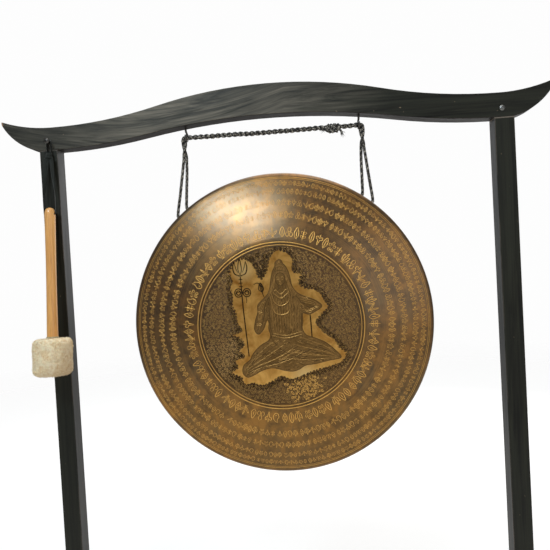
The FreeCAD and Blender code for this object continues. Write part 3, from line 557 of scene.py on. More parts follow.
def face_depth(radius):
    """The y of the gong's front at each radius: a shallow crown, a sloping band, then the rolled edge."""
    radius = np.asarray(radius, float)
    crown = NOSE_Y + CROWN_RADIUS - np.sqrt(CROWN_RADIUS**2 - np.minimum(radius, KNEE)**2)
    band = BAND_Y - np.sqrt(BAND_RADIUS**2 - (radius - BAND_X)**2)
    roll = ROLL_Y - np.sqrt(np.maximum(ROLL**2 - (radius - ROLL_X)**2, 0))
    return np.where(radius < KNEE, crown, np.where(radius < EDGE_RADIUS, band, roll))


def on_face(flat, lift):
    """World points on the gong's front, from flat positions in mm from its centre; lift is in mm."""
    flat = np.asarray(flat, float) * MM
    depth = face_depth(np.hypot(flat[:, 0], flat[:, 1])) - np.asarray(lift) * MM
    return np.column_stack([GONG_X + flat[:, 0], depth, GONG_Z + flat[:, 1]])


def gong_profile():
    """Radius and y of the sheet's outline: out over the face, round the edge, and back along the inside."""
    reach = np.concatenate([np.linspace(0.0, KNEE, 14), np.linspace(KNEE, EDGE_RADIUS, 22)[1:]])
    front = [(r, float(face_depth(r))) for r in reach]
    turn = np.linspace(math.atan2(EDGE_RADIUS - ROLL_X, ROLL_Y - EDGE_Y), math.pi / 2, 7)[1:]
    front += [(ROLL_X + ROLL * math.sin(t), ROLL_Y - ROLL * math.cos(t)) for t in turn]
    skirt = [(GONG_RADIUS, y) for y in np.linspace(ROLL_Y, GONG_BACK - LIP, 5)[1:]]
    lip = [(GONG_RADIUS - LIP, GONG_BACK), (GONG_RADIUS - SHEET + LIP, GONG_BACK),
           (GONG_RADIUS - SHEET, GONG_BACK - LIP)]
    outer = np.array(front + skirt)
    slope = unit(np.gradient(outer, axis=0))
    inner = outer + SHEET * np.column_stack([-slope[:, 1], slope[:, 0]])
    inner[0] = (0, outer[0, 1] + SHEET)
    return np.vstack([outer, lip, inner[::-1][1:]])


def lathe(profile, segments):
    """A closed surface of revolution about the gong's axis; its first and last points are on the axis."""
    vertices, faces, starts = [], [], []
    turn = np.arange(segments) * TAU / segments
    for radius, y in profile:
        starts.append(len(vertices))
        if radius < 1e-6:
            vertices.append((GONG_X, y, GONG_Z))
        else:
            vertices.extend(np.column_stack([GONG_X + radius * np.sin(turn), np.full(segments, y),
                                             GONG_Z + radius * np.cos(turn)]))
    for row, (low, high) in enumerate(zip(starts, starts[1:])):
        for side in range(segments):
            after = (side + 1) % segments
            if row == 0:
                faces.append((low, high + after, high + side))
            elif row == len(starts) - 2:
                faces.append((low + side, low + after, high))
            else:
                faces.append((low + side, low + after, high + after, high + side))
    return vertices, faces


HOLE_ANGLES = {-1: (36.7, 41.3), 1: (34.9, 39.5)}
HOLE_RADIUS = 4.5 * MM


def make_gong():
    vertices, faces = lathe(gong_profile(), 360)
    gong = make_piece("gong_sheet", vertices, faces, [patina((GONG_X, 0, GONG_Z))], body="gong")
    spots = []
    for side, angles in HOLE_ANGLES.items():
        for lean in (math.radians(angle) * side for angle in angles):
            spot = (GONG_X + GONG_RADIUS * math.sin(lean), HANG_Y, GONG_Z + GONG_RADIUS * math.cos(lean))
            spots.append(Matrix.Translation(spot) @ Matrix.Rotation(lean, 4, "Y"))
    drill(gong, spots, HOLE_RADIUS, 0.02)
    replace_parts(gong, "gong")


# ---------------------------------------------------------------- engraving
class Engraving:
    """Gathers strokes and filled patches on the gong's face into one piece of geometry."""

    def __init__(self, lift=0.0):
        self.vertices, self.faces, self.count, self.lift = [], [], 0, lift

    def add(self, vertices, faces):
        self.vertices.append(vertices)
        self.faces.extend(tuple(i + self.count for i in face) for face in faces)
        self.count += len(vertices)

    def stroke(self, points, width, step=1.8, ends=0.45, closed=False, height=0.2, curve=True):
        """A line of the graver: a low ridge, narrow at its ends, that follows the face. All in mm."""
        path = smooth_path(points, step, closed) if curve else even(np.array(points, float), step)
        if closed:
            path = path[:-1]
            ahead = unit(np.roll(path, -1, axis=0) - np.roll(path, 1, axis=0))
            swell = np.ones(len(path))
        else:
            ahead = unit(np.gradient(path, axis=0))
            swell = ends + (1 - ends) * np.sin(math.pi * np.linspace(0, 1, len(path)))**0.6
        side = np.column_stack([-ahead[:, 1], ahead[:, 0]]) * (width / 2 * swell)[:, None]
        root = self.lift - 0.08
        rows = np.stack([on_face(path - side, root), on_face(path, self.lift + height * swell),
                         on_face(path + side, root)], axis=1)
        count = len(path)
        faces = []
        for row in range(count if closed else count - 1):
            low, high = 3 * row, 3 * ((row + 1) % count)
            faces += [(low, low + 1, high + 1, high), (low + 1, low + 2, high + 2, high + 1),
                      (low + 2, low, high, high + 2)]
        if not closed:
            faces += [(2, 1, 0), (3 * count - 3, 3 * count - 2, 3 * count - 1)]
        self.add(rows.reshape(-1, 3), faces)

    def strokes(self, lines, **settings):
        for points, width in lines:
            self.stroke(points, width, **settings)

    def between(self, first, last, count, width):
        """Lines drawn from one curve to another with the same number of points, the ends left out."""
        first, last = np.asarray(first, float), np.asarray(last, float)
        for share in np.arange(1, count + 1) / (count + 1):
            self.stroke(first * (1 - share) + last * share, width)

    def ring(self, radius, width, height=0.2):
        self.stroke(circle(361) * radius, width, step=radius * TAU / 360, closed=True, height=height,
                    curve=False)

    def patch(self, outline, lift, grid=14.0, thick=0.3):
        """A thin filled shape that follows the face, closed underneath."""
        low, high = outline.min(0), outline.max(0)
        middle = [(x, y) for x in np.arange(low[0], high[0], grid) for y in np.arange(low[1], high[1], grid)
                  if inside((x, y), outline, 2.0)]
        count = len(outline)
        loop = [(i, (i + 1) % count) for i in range(count)]
        spots, _, triangles, *_ = delaunay_2d_cdt([Vector(p) for p in (*outline, *middle)], loop,
                                                  [list(range(count))], 1, 1e-5)
        flat = np.array([tuple(p) for p in spots])
        shift = len(flat)
        turned = []
        for a, b, c in triangles:
            turned.append((a, b, c) if np.cross(flat[b] - flat[a], flat[c] - flat[a]) > 0 else (a, c, b))
        sides = {side for a, b, c in turned for side in ((a, b), (b, c), (c, a))}
        faces = []
        for a, b, c in turned:
            faces += [(a, b, c), (c + shift, b + shift, a + shift)]
            faces += [(end, start, start + shift, end + shift) for start, end in ((a, b), (b, c), (c, a))
                      if (end, start) not in sides]
        self.add(np.vstack([on_face(flat, lift), on_face(flat, lift - thick)]), faces)

    def make(self, name, material):
        make_piece(name, np.vstack(self.vertices), self.faces, [material], smooth=False, body="gong")


def circle(count):
    """Points round a circle of radius 1, clockwise from the top and back to it."""
    turn = np.linspace(0, TAU, count)
    return np.column_stack([np.sin(turn), np.cos(turn)])


def inside(point, outline, margin=0.0):
    """Whether a point is inside an outline, and at least the margin from its corners and edges."""
    x, y = point
    first, second = outline, np.roll(outline, -1, axis=0)
    crosses = (first[:, 1] > y) != (second[:, 1] > y)
    rise = np.where(crosses, second[:, 1] - first[:, 1], 1.0)
    reach = first[:, 0] + (y - first[:, 1]) / rise * (second[:, 0] - first[:, 0])
    if not np.count_nonzero(crosses & (x < reach)) % 2:
        return False
    if margin:
        edge = second - first
        share = np.clip(((point - first) * edge).sum(1) / np.maximum((edge**2).sum(1), 1e-9), 0, 1)
        return np.linalg.norm(first + edge * share[:, None] - point, axis=1).min() > margin
    return True


def spiral(centre, radius, start, turns, tail=0.0, points_per_turn=9):
    """A curl that winds in to its centre; start is an angle in degrees and turns may be negative."""
    count = max(4, int(abs(turns) * points_per_turn))
    share = np.linspace(0, 1, count)
    angle = math.radians(start) + share * turns * TAU
    reach = radius * (1 - 0.82 * share)
    curl = np.column_stack([centre[0] + reach * np.cos(angle), centre[1] + reach * np.sin(angle)])
    if tail:
        turned = math.copysign(1, turns)
        away = np.array([math.sin(angle[0]), -math.cos(angle[0])]) * turned
        curl = np.vstack([curl[0] + away * tail, curl])
    return curl


# Each motif gives its width and its strokes, which are points and a relative width of line. A point's height
# is a share of the band's height, and its distance along the band is in sizes of the band's motifs.
def lotus():
    petal = [(0.50, 0.10), (0.36, 0.44), (0.50, 0.98), (0.64, 0.44), (0.50, 0.10)]
    left = [(0.46, 0.10), (0.16, 0.26), (0.06, 0.72), (0.34, 0.52)]
    right = [(1 - x, z) for x, z in left]
    return 1.0, [(petal, 1.0), (left, 1.0), (right, 1.0), ([(0.20, 0.0), (0.50, 0.05), (0.80, 0.0)], 1.0)]


def lotus_bud():
    bud = [(0.38, 0.04), (0.08, 0.34), (0.18, 0.66), (0.38, 0.98), (0.58, 0.66), (0.68, 0.34), (0.38, 0.04)]
    return 0.78, [(bud, 1.0), ([(0.38, 0.30), (0.38, 0.66)], 1.0)]


def paisley():
    drop = [(0.60, 0.98), (0.24, 0.78), (0.06, 0.40), (0.30, 0.06), (0.66, 0.10), (0.80, 0.42), (0.60, 0.66),
            (0.60, 0.98)]
    return 0.88, [(drop, 1.0), ([(0.34, 0.28), (0.42, 0.24), (0.50, 0.30)], 1.4)]


def petal(root, lean, start, middle, tip, half):
    """A pointed petal at an angle: how far its start, widest part and tip are from its root."""
    out = np.array((math.sin(lean), math.cos(lean)))
    across = np.array((out[1], -out[0])) * half
    return [root + out * start, root + out * middle + across, root + out * tip, root + out * middle - across,
            root + out * start]


def rosette():
    return 1.0, [(petal((0.5, 0.5), index * TAU / 5, 0.12, 0.34, 0.48, 0.13), 0.8) for index in range(5)]


def sprig():
    strokes = [([(0.45, 0.0), (0.45, 0.98)], 0.9)]
    for level in (0.18, 0.52):
        for side in (-1, 1):
            tip = (0.45 + side * 0.36, level + 0.22)
            strokes.append(([(0.45, level), (0.45 + side * 0.24, level + 0.04), tip,
                             (0.45 + side * 0.10, level + 0.20), (0.45, level)], 0.7))
    return 0.92, strokes


def lyre():
    left, right = spiral((0.25, 0.68), 0.21, -60, -1.1), spiral((0.75, 0.68), 0.21, 240, 1.1)
    return 1.0, [(np.vstack([(0.47, 0.02), left]), 1.0), (np.vstack([(0.53, 0.02), right]), 1.0),
                 ([(0.50, 0.60), (0.50, 1.0)], 1.1)]


def fan():
    petals = [petal((0.50, 0.16), math.radians(lean), 0.0, 0.42, 0.80, 0.08) for lean in (-52, 0, 52)]
    return 1.06, [([(0.28, 0.04), (0.50, 0.12), (0.72, 0.04)], 1.0)] + [(points, 0.7) for points in petals]


def lozenge():
    outer = [(0.40, 0.02), (0.06, 0.50), (0.40, 0.98), (0.74, 0.50), (0.40, 0.02)]
    inner = [(0.40, 0.30), (0.26, 0.50), (0.40, 0.70), (0.54, 0.50), (0.40, 0.30)]
    return 0.80, [(line[k:k + 2], 0.9) for line in (outer, inner) for k in range(4)]


def trefoil():
    return 1.0, [(circle(9) * 0.21 + spot, 0.85) for spot in ((0.50, 0.74), (0.25, 0.32), (0.75, 0.32))]


def leaf():
    edge = [(0.36, 0.02), (0.08, 0.34), (0.12, 0.68), (0.36, 0.98), (0.60, 0.68), (0.64, 0.34), (0.36, 0.02)]
    return 0.76, [(edge, 1.0), ([(0.36, 0.08), (0.36, 0.80)], 0.9)]


MOTIFS = (lotus, lotus_bud, paisley, rosette, sprig, lyre, fan, lozenge, trefoil, leaf)


def ornament_band(engraving, low, high, width, spread, chance):
    """Fills a ring between two radii with motifs in short runs, each run set off by a small gap."""
    height, middle = high - low, (low + high) / 2
    angle = chance.uniform(0, TAU)
    stop = angle + TAU - spread * 0.6 / middle
    run = chance.randint(3, 6)
    motif = None
    while angle < stop:
        motif = chance.choice([other for other in MOTIFS if other is not motif])
        share, strokes = motif()
        wide = share * spread
        flip, scale = chance.choice((-1, 1)), chance.uniform(0.86, 1.0)
        for points, weight in strokes:
            points = np.asarray(points, float)
            reach = points[:, 0] * spread
            turn = angle + (wide - reach if flip < 0 else reach) / middle
            out = low + height * (0.5 + (points[:, 1] - 0.5) * scale)
            flat = np.column_stack([np.sin(turn), np.cos(turn)]) * out[:, None]
            engraving.stroke(flat, width * weight, step=2.4)
        angle += (wide + width * 0.5) / middle
        run -= 1
        if run == 0:
            run = chance.randint(3, 6)
            angle += spread * 0.26 / middle


AURA = [(6, 169), (24, 162), (35, 147), (33, 130), (36, 118), (53, 113), (47, 93), (62, 81), (78, 78),
        (94, 67), (101, 52), (109, 37), (92, 20), (80, 4), (92, -14), (104, -25), (120, -36), (130, -54),
        (144, -67), (133, -86), (108, -95), (86, -101), (66, -106), (47, -113), (20, -121), (-3, -114),
        (-23, -124), (-47, -133), (-68, -127), (-87, -129), (-95, -113), (-116, -102), (-101, -90),
        (-105, -75), (-84, -66), (-95, -53), (-84, -38), (-95, -23), (-109, -17), (-87, -8), (-95, 8),
        (-99, 31), (-106, 50), (-104, 72), (-108, 90), (-103, 104), (-108, 124), (-99, 144), (-80, 154),
        (-62, 148), (-50, 132), (-44, 113), (-35, 108), (-24, 127), (-18, 148), (-7, 164)]

FIGURE = [(4, 148), (10, 146), (13, 139), (19, 132), (25, 118), (28, 104), (31, 88), (40, 74), (54, 65),
          (74, 57), (88, 49), (95, 40), (86, 32), (66, 23), (52, 26), (51, 8), (49, -8), (57, -23),
          (77, -31), (98, -41), (115, -55), (132, -75), (118, -80), (104, -82), (76, -88), (52, -91),
          (38, -99), (24, -103), (6, -101), (-22, -94), (-46, -99), (-64, -108), (-80, -113), (-90, -103),
          (-87, -86), (-72, -74), (-64, -60), (-47, -43), (-28, -32), (-23, -20), (-26, -6), (-25, 8),
          (-29, 14), (-38, -6), (-50, -17), (-58, -6), (-55, 14), (-49, 32), (-48, 48), (-40, 57),
          (-30, 66), (-22, 77), (-18, 90), (-15, 108), (-11, 122), (-5, 134), (-4, 142)]


def scalloped(outline, size, depth, chance):
    """The outline with small round bites along it."""
    step = 1.5
    path = smooth_path(outline, step, closed=True)[:-1]
    ahead = unit(np.roll(path, -1, axis=0) - np.roll(path, 1, axis=0))
    out = np.column_stack([-ahead[:, 1], ahead[:, 0]])
    length = np.arange(len(path)) * step
    bite = np.abs(np.sin(length / size * math.pi + 0.6 * np.sin(length / 31)))
    uneven = 1 + 0.5 * np.sin(length / 17 + chance.uniform(0, 6))
    return path - out * ((bite - 0.5) * depth * uneven)[:, None]


def filigree(bright, lit, dark, aura, chance):
    """Small curls packed over the medallion outside the polished patch; low on the right they are drawn wider
    and brighter, a painted highlight.
    """
    pitch, reach = 6.6, 175.5
    row_pitch = pitch * 0.87
    highlight_x, highlight_z = 50, -132
    rows = int(180 / row_pitch) + 1
    for row in range(-rows, rows + 1):
        for column in range(-30, 31):
            spot = np.array(((column + 0.5 * (row % 2)) * pitch, row * row_pitch))
            spot = spot + (chance.uniform(-1.1, 1.1), chance.uniform(-1.1, 1.1))
            start, turns = chance.uniform(0, 360), chance.choice((-1, 1)) * chance.uniform(1.0, 1.35)
            if np.hypot(*spot) > reach or inside(spot, aura):
                continue
            curl = spiral(spot, chance.uniform(2.5, 3.3), start, turns, tail=2.0, points_per_turn=7)
            # Painted highlight: round a spot low on the right, beside the painted highlight under the lap,
            # the curls are drawn wider in the brighter line bronze.
            polished = np.hypot(spot[0] - highlight_x, spot[1] - highlight_z) < chance.uniform(18, 52)
            engraving, width = (lit, 2.0) if polished else (bright, 1.3)
            engraving.stroke(curl, width, step=1.5, height=0.16)
    rim = even(np.vstack([aura, aura[:1]]), 6.0)[:-1]
    for spot, ahead in zip(rim, unit(np.roll(rim, -1, axis=0) - np.roll(rim, 1, axis=0))):
        out = np.array((-ahead[1], ahead[0]))
        for step, radius in ((2.2, 3.3), (8.0, 3.0)):
            centre = spot + out * step
            if np.hypot(*centre) < 176 and not inside(centre, aura):
                curl = spiral(centre, radius, chance.uniform(0, 360), chance.choice((-1.3, 1.3)),
                              points_per_turn=8)
                dark.stroke(curl, 1.5, step=1.4, height=0.22)


def arch(x, z, half, rise):
    """Three points of a shallow arch; a rise below 0 makes it sag."""
    return [(x - half, z), (x, z + rise), (x + half, z)]


def draw_face(light, dark):
    """A calm oval with closed eyes, set out on halves and thirds."""
    middle, eye, height, half = 5.2, 104.0, 29.0, 10.6
    chin, nose = eye - height / 2, eye - height / 6
    mouth = chin + height * 0.19
    oval = circle(17)
    oval[:, 0] *= 1 + 0.12 * oval[:, 1]
    dark.stroke(oval * (half, height / 2) + (middle, eye), 1.7, ends=1.0)
    features = [([(middle - 0.8, eye + 2.5), (middle - 0.6, nose + 1.4), (middle - 1.9, nose),
                  (middle + 1.8, nose)], 0.95),
                (arch(middle, mouth + 0.4, 3.4, -0.7), 1.1), (arch(middle, mouth - 2.0, 2.1, -0.7), 0.8)]
    for side in (-1, 1):
        centre, ear = middle + side * half * 0.46, middle + side * (half + 1.0)
        features += [(arch(centre, eye + 0.6, 2.6, -1.4), 1.1), (arch(centre, eye + 4.4, 3.1, 1.1), 1.0),
                     ([(ear, eye + 2), (ear + side * 1.6, eye - 1), (ear, eye - 5)], 1.0)]
        dark.stroke([(middle + side * 5, chin + 2), (middle + side * 5.6, chin - 6)], 1.4)
    light.strokes(features, step=0.9)


def draw_figure(light, dark):
    """A seated figure of no one in particular: legs folded, hair bound up, one hand on an arm rest."""
    draw_face(light, dark)
    for first, last, count, width in (
            # hair, bound in a tall knot and falling behind the shoulders
            ([(-7, 117), (-6, 128), (-1, 138), (4, 146)],
             [(19, 117), (18, 128), (10, 138), (5, 146)], 5, 1.2),
            ([(-9, 114), (-13, 98), (-20, 84), (-32, 68)],
             [(-4, 116), (-6, 100), (-9, 86), (-14, 72)], 3, 1.2),
            ([(15, 116), (18, 100), (21, 86), (25, 72)], [(20, 114), (26, 98), (33, 84), (46, 69)], 3, 1.2),
            # chest and waist
            ([(-26, 60), (-23, 40), (-22, 14), (-20, -14)],
             [(46, 58), (48, 34), (46, 10), (46, -12)], 11, 1.0),
            # arms
            ([(44, 70), (60, 62), (78, 55), (92, 42)], [(50, 46), (62, 44), (74, 42), (86, 37)], 3, 1.1),
            ([(90, 38), (76, 31), (62, 26), (52, 27)], [(84, 42), (72, 38), (60, 36), (50, 38)], 2, 1.1),
            ([(-33, 62), (-47, 46), (-52, 14), (-56, -6)],
             [(-28, 54), (-36, 34), (-40, 10), (-47, -14)], 3, 1.1)):
        light.between(first, last, count, width)
    # folded legs under a skirt
    for over, under in (([(48, -16), (76, -32), (100, -43), (116, -58), (128, -74)],
                         [(-14, -84), (20, -82), (56, -84), (92, -80), (122, -77)]),
                        ([(-22, -28), (-44, -42), (-62, -60), (-74, -78), (-88, -96)],
                         [(60, -62), (34, -78), (0, -88), (-40, -94), (-78, -106)])):
        light.between(over, under, 7, 1.2)
        dark.between(over, under, 3, 1.4)
    dark.strokes((arch(5, level, half, 3), 1.9) for level, half in ((121, 13), (129, 10), (136, 7)))
    dark.strokes((
        ([(-25, 62), (-23, 40), (-23, 14), (-20, -16)], 2.1), ([(49, 26), (48, 10), (46, -12)], 2.1),
        ([(12, 24), (11, 4), (12, -14)], 1.2), ([(88, 41), (74, 40), (62, 39), (50, 40)], 2.0),
        ([(38, 66), (47, 55), (50, 42)], 1.8), ([(-25, 62), (-32, 46), (-35, 24), (-40, 4)], 1.8),
        ([(96, -44), (60, -58), (20, -74), (-30, -88), (-70, -96)], 2.4),
        ([(-20, -30), (-2, -52), (30, -70), (70, -80), (110, -80)], 2.2)))
    # strings of beads round the neck
    for low, reach in ((71, 15), (62, 19), (45, 22), (25, 25)):
        top = 80 - (80 - low) * 0.15
        beads = np.array([(5 - reach, top), (5 - reach * 0.7, low + 9), (5, low), (5 + reach * 0.7, low + 9),
                          (5 + reach, top)])
        light.stroke(beads, 1.8, height=0.3)
        dark.stroke(beads - (0, 3), 1.1)
    # belt, bracelets, and the fingers of the lowered hand
    for level in (-15, -21):
        light.stroke([(-20, level), (12, level - 7), (47, level)], 1.6)
        dark.stroke([(-20, level - 3), (12, level - 10), (47, level - 3)], 1.3)
    light.strokes((arch(x, z + shift, 6, -1.6), 1.2) for x, z in ((-44, 34), (-48, 6), (66, 30), (60, 60))
                  for shift in (-1.6, 1.6))
    light.strokes(([(x - 9, z - 5), (x, z), (x + 10, z + 3)], 2.2)
                  for x, z in ((8, -70), (18, -65), (28, -60), (0, -76)))


def hatch(light, dark, silhouette, chance):
    """Short shading cuts over the figure, which bend with its limbs; the face is left clear."""
    for index in range(1500):
        spot = np.array((chance.uniform(-90, 132), chance.uniform(-112, 148)))
        from_face = np.hypot(spot[0] - 5, (spot[1] - 104) * 0.7)
        if from_face < 12 or not inside(spot, silhouette, 2.6):
            continue
        lean = math.radians(84 if spot[1] > -26 else 18 - spot[0] * 0.35) + chance.uniform(-0.35, 0.35)
        if spot[1] > -10 and abs(spot[0] - 10) > 36:
            lean = math.radians(60 if spot[0] < 0 else -35) + chance.uniform(-0.3, 0.3)
        ahead = np.array((math.cos(lean), math.sin(lean))) * chance.uniform(2.4, 4.6)
        bow = np.array((-ahead[1], ahead[0])) * chance.uniform(-0.25, 0.25)
        points = [spot - ahead, spot + bow, spot + ahead]
        if not all(inside(point, silhouette, 1.0) for point in points):
            continue
        (light if index % 3 == 0 else dark).stroke(points, chance.uniform(1.1, 2.0), step=1.6, height=0.12)


def draw_staff(dark):
    """A staff with a three-petalled head and a ribbon bow, a bud on a stalk, and the arm rest's upright."""
    for points, width in (([(-84, 114), (-81, 40), (-77, -20), (-74, -66)], 3.6),
                          ([(68, 22), (69, -4), (69.5, -28)], 3.8)):
        dark.stroke(points, width, ends=0.9)
    for level in (116, 108, 100, 92):
        dark.stroke([(-88, level), (-79.5, level)], 2.6, ends=1.0, step=1.0)
    lines = [([(-84, 117), (-88.5, 132), (-84.5, 154), (-80.5, 132), (-84, 117)], 2.9),
             ([(-74, 70), (-72, 62), (-73, 54)], 2.2),
             ([(-32, 64), (-36, 76), (-38, 90), (-46, 98), (-55, 95)], 3.2)]
    for side in (-1, 1):
        lines += [([(-84, 116), (-84 + side * 12, 121), (-84 + side * 16, 134), (-84 + side * 13, 149)], 3.6),
                  ([(-84 + side * 13, 149), (-84 + side * 9.5, 134), (-84 + side * 5, 123)], 2.2),
                  ([(-80.5, 78), (-80.5 + side * 9, 80), (-80.5 + side * 17, 76)], 2.4)]
        for reach in (8.5, 4.6):
            dark.stroke(circle(13) * (reach, reach * 1.1) + (-80.5 + side * 9.5, 78.0), 3.2, ends=1.0)
    lines += [([(-36, 76), (-36 - wide, 84), (-40, 98), (-36 + wide * 0.4, 86), (-36, 76)], 3.0)
              for wide in (8.0, 4.0)]
    dark.strokes(lines)
    for x, z, reach in ((-56, 152, 7), (-48, 137, 7), (-40, 124, 6.5), (-33, 116, 5), (-28, 128, 6),
                        (-33, 143, 7), (-43, 160, 6), (-26, 156, 6)):
        for start in (30, 210):
            dark.stroke(spiral((x, z), reach, start, 1.25, points_per_turn=10), 2.0, step=1.6, height=0.24)


# The rings of ornament: inner and outer radius, width of line, and size of motif.
INNER_BANDS = ((196.0, 224.0, 1.9, 17.5), (240.5, 259.0, 1.4, 12.5), (269.5, 287.0, 1.3, 12.0))
OUTER_BANDS = ((297.0, 312.5, 1.2, 11.0), (317.5, 331.5, 1.15, 10.5))


def engrave():
    chance = random.Random(7)
    bright, outer, medallion, gold, figure = [Engraving() for _ in range(5)]
    dark, shade, fine = Engraving(0.07), Engraving(0.16), Engraving(0.16)
    dark.ring(184.3, 0.9, height=0.1)
    for engraving, rings, bands in ((bright, ((187.4, 2.3), (181.0, 1.5)), INNER_BANDS),
                                    (outer, ((338.6, 1.2), (335.2, 1.0)), OUTER_BANDS)):
        for radius, width in rings:
            engraving.ring(radius, width)
        for band in bands:
            ornament_band(engraving, *band, chance)
    aura = scalloped(AURA, 7.5, 3.6, chance)
    gold.patch(aura, 0.06)
    filigree(medallion, bright, dark, aura, chance)
    silhouette = smooth_path(FIGURE, 2.5, closed=True)[:-1]
    figure.patch(silhouette, 0.14)
    shade.stroke(silhouette, 1.8, closed=True, curve=False)
    hatch(fine, shade, silhouette, chance)
    draw_figure(fine, shade)
    draw_staff(dark)
    line = cut_line("engraved_bronze", 30.0, (0.68, 0.350, 0.078), (0.95, 0.560, 0.155), 0.5)
    curls = cut_line("filigree_bronze", 70.0, (0.290, 0.155, 0.046), (0.560, 0.315, 0.096), 0.42, detail=4.0,
                     light=(0.72, 0.43, 0.145))
    black = cut_line("black_oxide", 60.0, (0.022, 0.012, 0.004), (0.055, 0.031, 0.011), 0.6, metallic=0.9)
    brown = cut_line("brown_oxide", 60.0, (0.075, 0.041, 0.014), (0.140, 0.078, 0.028), 0.6, metallic=0.9)
    for engraving, name, material in (
            (bright, "engraved_inner_bands", line), (outer, "engraved_outer_bands", line),
            (medallion, "engraved_filigree", curls), (dark, "engraved_dark_lines", black),
            (shade, "engraved_figure_shading", brown), (gold, "polished_patch", polished_gold()),
            (figure, "engraved_figure", figure_bronze()), (fine, "engraved_figure_lines", curls)):
        engraving.make(name, material)


make_gong()
engrave()


# ---------------------------------------------------------------- braided cord
CORD, CORD_STEP = 3.6 * MM, 0.9 * MM
YARNS, YARN_SIDES, LIGHT_YARNS = 8, 5, (0, 3, 5)
HOOK_X, CORD_LEVEL = 0.203, 1.3949
SPLIT_LEVEL = 1.345
# Each side's cord is cut at these levels, into parts that bend and parts that stay straight.
HOOK_CUT, RIM_CUT = 1.366, 1.264
# Distances from the gong's middle of the cord's points outside, in and inside a rim hole, and of its bight.
HOLE_REACH, BIGHT_REACH = (0.356, 0.3485, 0.342), 0.3355
TWIST = 2 * HOOK_X / 15


def braid(path, radius=CORD, pitch=13 * MM):
    """The yarns of a round braid along a path: for each yarn, one small ring of points per path point."""
    first, second = frames(path)
    length = run_length(path)
    yarns = []
    for index in range(YARNS):
        way = 1 if index % 2 else -1
        angle = way * TAU * length / pitch + (index // 2) * math.pi / 2
        uneven = (np.sin(length * (2100 + 170 * index) + index * 2.1)
                  + np.sin(length * (900 + 90 * index) + index))
        reach = radius * (0.60 + 0.11 * way * np.cos(4 * angle) + 0.055 * uneven)
        middle = path + reach[:, None] * (np.cos(angle)[:, None] * first + np.sin(angle)[:, None] * second)
        yarns.append(sweep(middle, radius * 0.38, YARN_SIDES).reshape(len(path), YARN_SIDES, 3))
    return yarns


def cord_piece(name, strands, materials, body=None):
    """One piece of cord from strands, each a list of yarn rings; some yarns in each strand are light."""
    vertices, faces, shades, count = [], [], [], 0
    for yarns in strands:
        for index, rings in enumerate(yarns):
            made = tube_faces(len(rings), YARN_SIDES, count)
            vertices.append(rings.reshape(-1, 3))
            faces += made
            shades += [index in LIGHT_YARNS] * len(made)
            count += len(rings) * YARN_SIDES
    return make_piece(name, np.vstack(vertices), faces, materials, shades, body=body)


def slack(path, size, chance):
    """Small wanderings of a cord that isn't drawn tight."""
    length = np.arange(len(path)) * CORD_STEP
    drift = np.zeros_like(path)
    for axis in (1, 2):
        for wave in (0.021, 0.047, 0.093):
            drift[:, axis] += size * wave / 0.093 * np.sin(length / wave * TAU / 2.2 + chance.uniform(0, TAU))
    fade = np.minimum(np.minimum(length, length[::-1]) / 0.02, 1.0)
    return path + drift * fade[:, None]


def top_run(materials, chance):
    """Two strands twisted together from hook to hook."""
    line = np.arange(-HOOK_X, HOOK_X + 1e-9, CORD_STEP)
    level = CORD_LEVEL - 1.2 * MM * (1 - (line / HOOK_X)**2)
    middle = np.column_stack([line, np.full(len(line), HANG_Y), level])
    middle = slack(middle, 0.35 * MM, chance) + (GONG_X, 0, 0)
    strands = []
    for side in (0, math.pi):
        angle = side + (line + HOOK_X) / TWIST * TAU
        offset = np.column_stack([np.zeros(len(line)), np.cos(angle), np.sin(angle)]) * 2.7 * MM
        strands.append(braid(middle + offset, 3.35 * MM))
    return cord_piece("cord_run", strands, materials, body="stand")


def hole_spot(side, index, radius):
    """A point in line with a rim hole; x is the distance from the gong's middle, whichever the side."""
    lean = math.radians(HOLE_ANGLES[side][index])
    return np.array((radius * math.sin(lean), HANG_Y, GONG_Z + radius * math.cos(lean)))


def side_path(side, chance):
    """One cord from the hook down through both rim holes and back up to the hook; side is -1 or 1."""
    beyond = HOOK_X + 6.4 * MM
    drop = smooth_path([(HOOK_X, HANG_Y, CORD_LEVEL), (beyond - 1.8 * MM, HANG_Y, CORD_LEVEL - 1.2 * MM),
                        (beyond, HANG_Y, 1.3905), (beyond, HANG_Y, 1.3780), (beyond, HANG_Y, 1.3600),
                        (beyond - 0.4 * MM, HANG_Y, SPLIT_LEVEL)], CORD_STEP)
    turn = np.linspace(0, 1.5 * math.pi, len(drop))
    across = np.cross(unit(np.gradient(drop, axis=0)), (0, 1, 0))
    offset = (-np.cos(turn)[:, None] * (0, 1, 0) + np.sin(turn)[:, None] * across) * 3.3 * MM
    inner, outer = sorted((drop + offset, drop - offset), key=lambda strand: strand[-1, 0])
    arc = [hole_spot(side, 0, reach) for reach in HOLE_REACH]
    arc += [(hole_spot(side, 0, BIGHT_REACH) + hole_spot(side, 1, BIGHT_REACH)) / 2]
    arc += [hole_spot(side, 1, reach) for reach in HOLE_REACH[::-1]]
    down = [inner[-1], (inner[-1] * 2 + arc[0]) / 3 + (-0.6 * MM, 0, 0), (inner[-1] + arc[0] * 2) / 3]
    up = [(outer[-1] + arc[-1] * 2) / 3, (outer[-1] * 2 + arc[-1]) / 3, outer[-1]]
    path = np.vstack([inner[:-1], smooth_path(down + arc + up, CORD_STEP), outer[-2::-1]])
    path = even(path, CORD_STEP)
    wandering = slack(path, 0.3 * MM, chance)
    loose = (path[:, 2:3] < SPLIT_LEVEL - 10 * MM) & (path[:, 2:3] > RIM_CUT - 14 * MM)
    path = np.where(loose, wandering, path)
    path[:, 0] = GONG_X + path[:, 0] * side
    return path


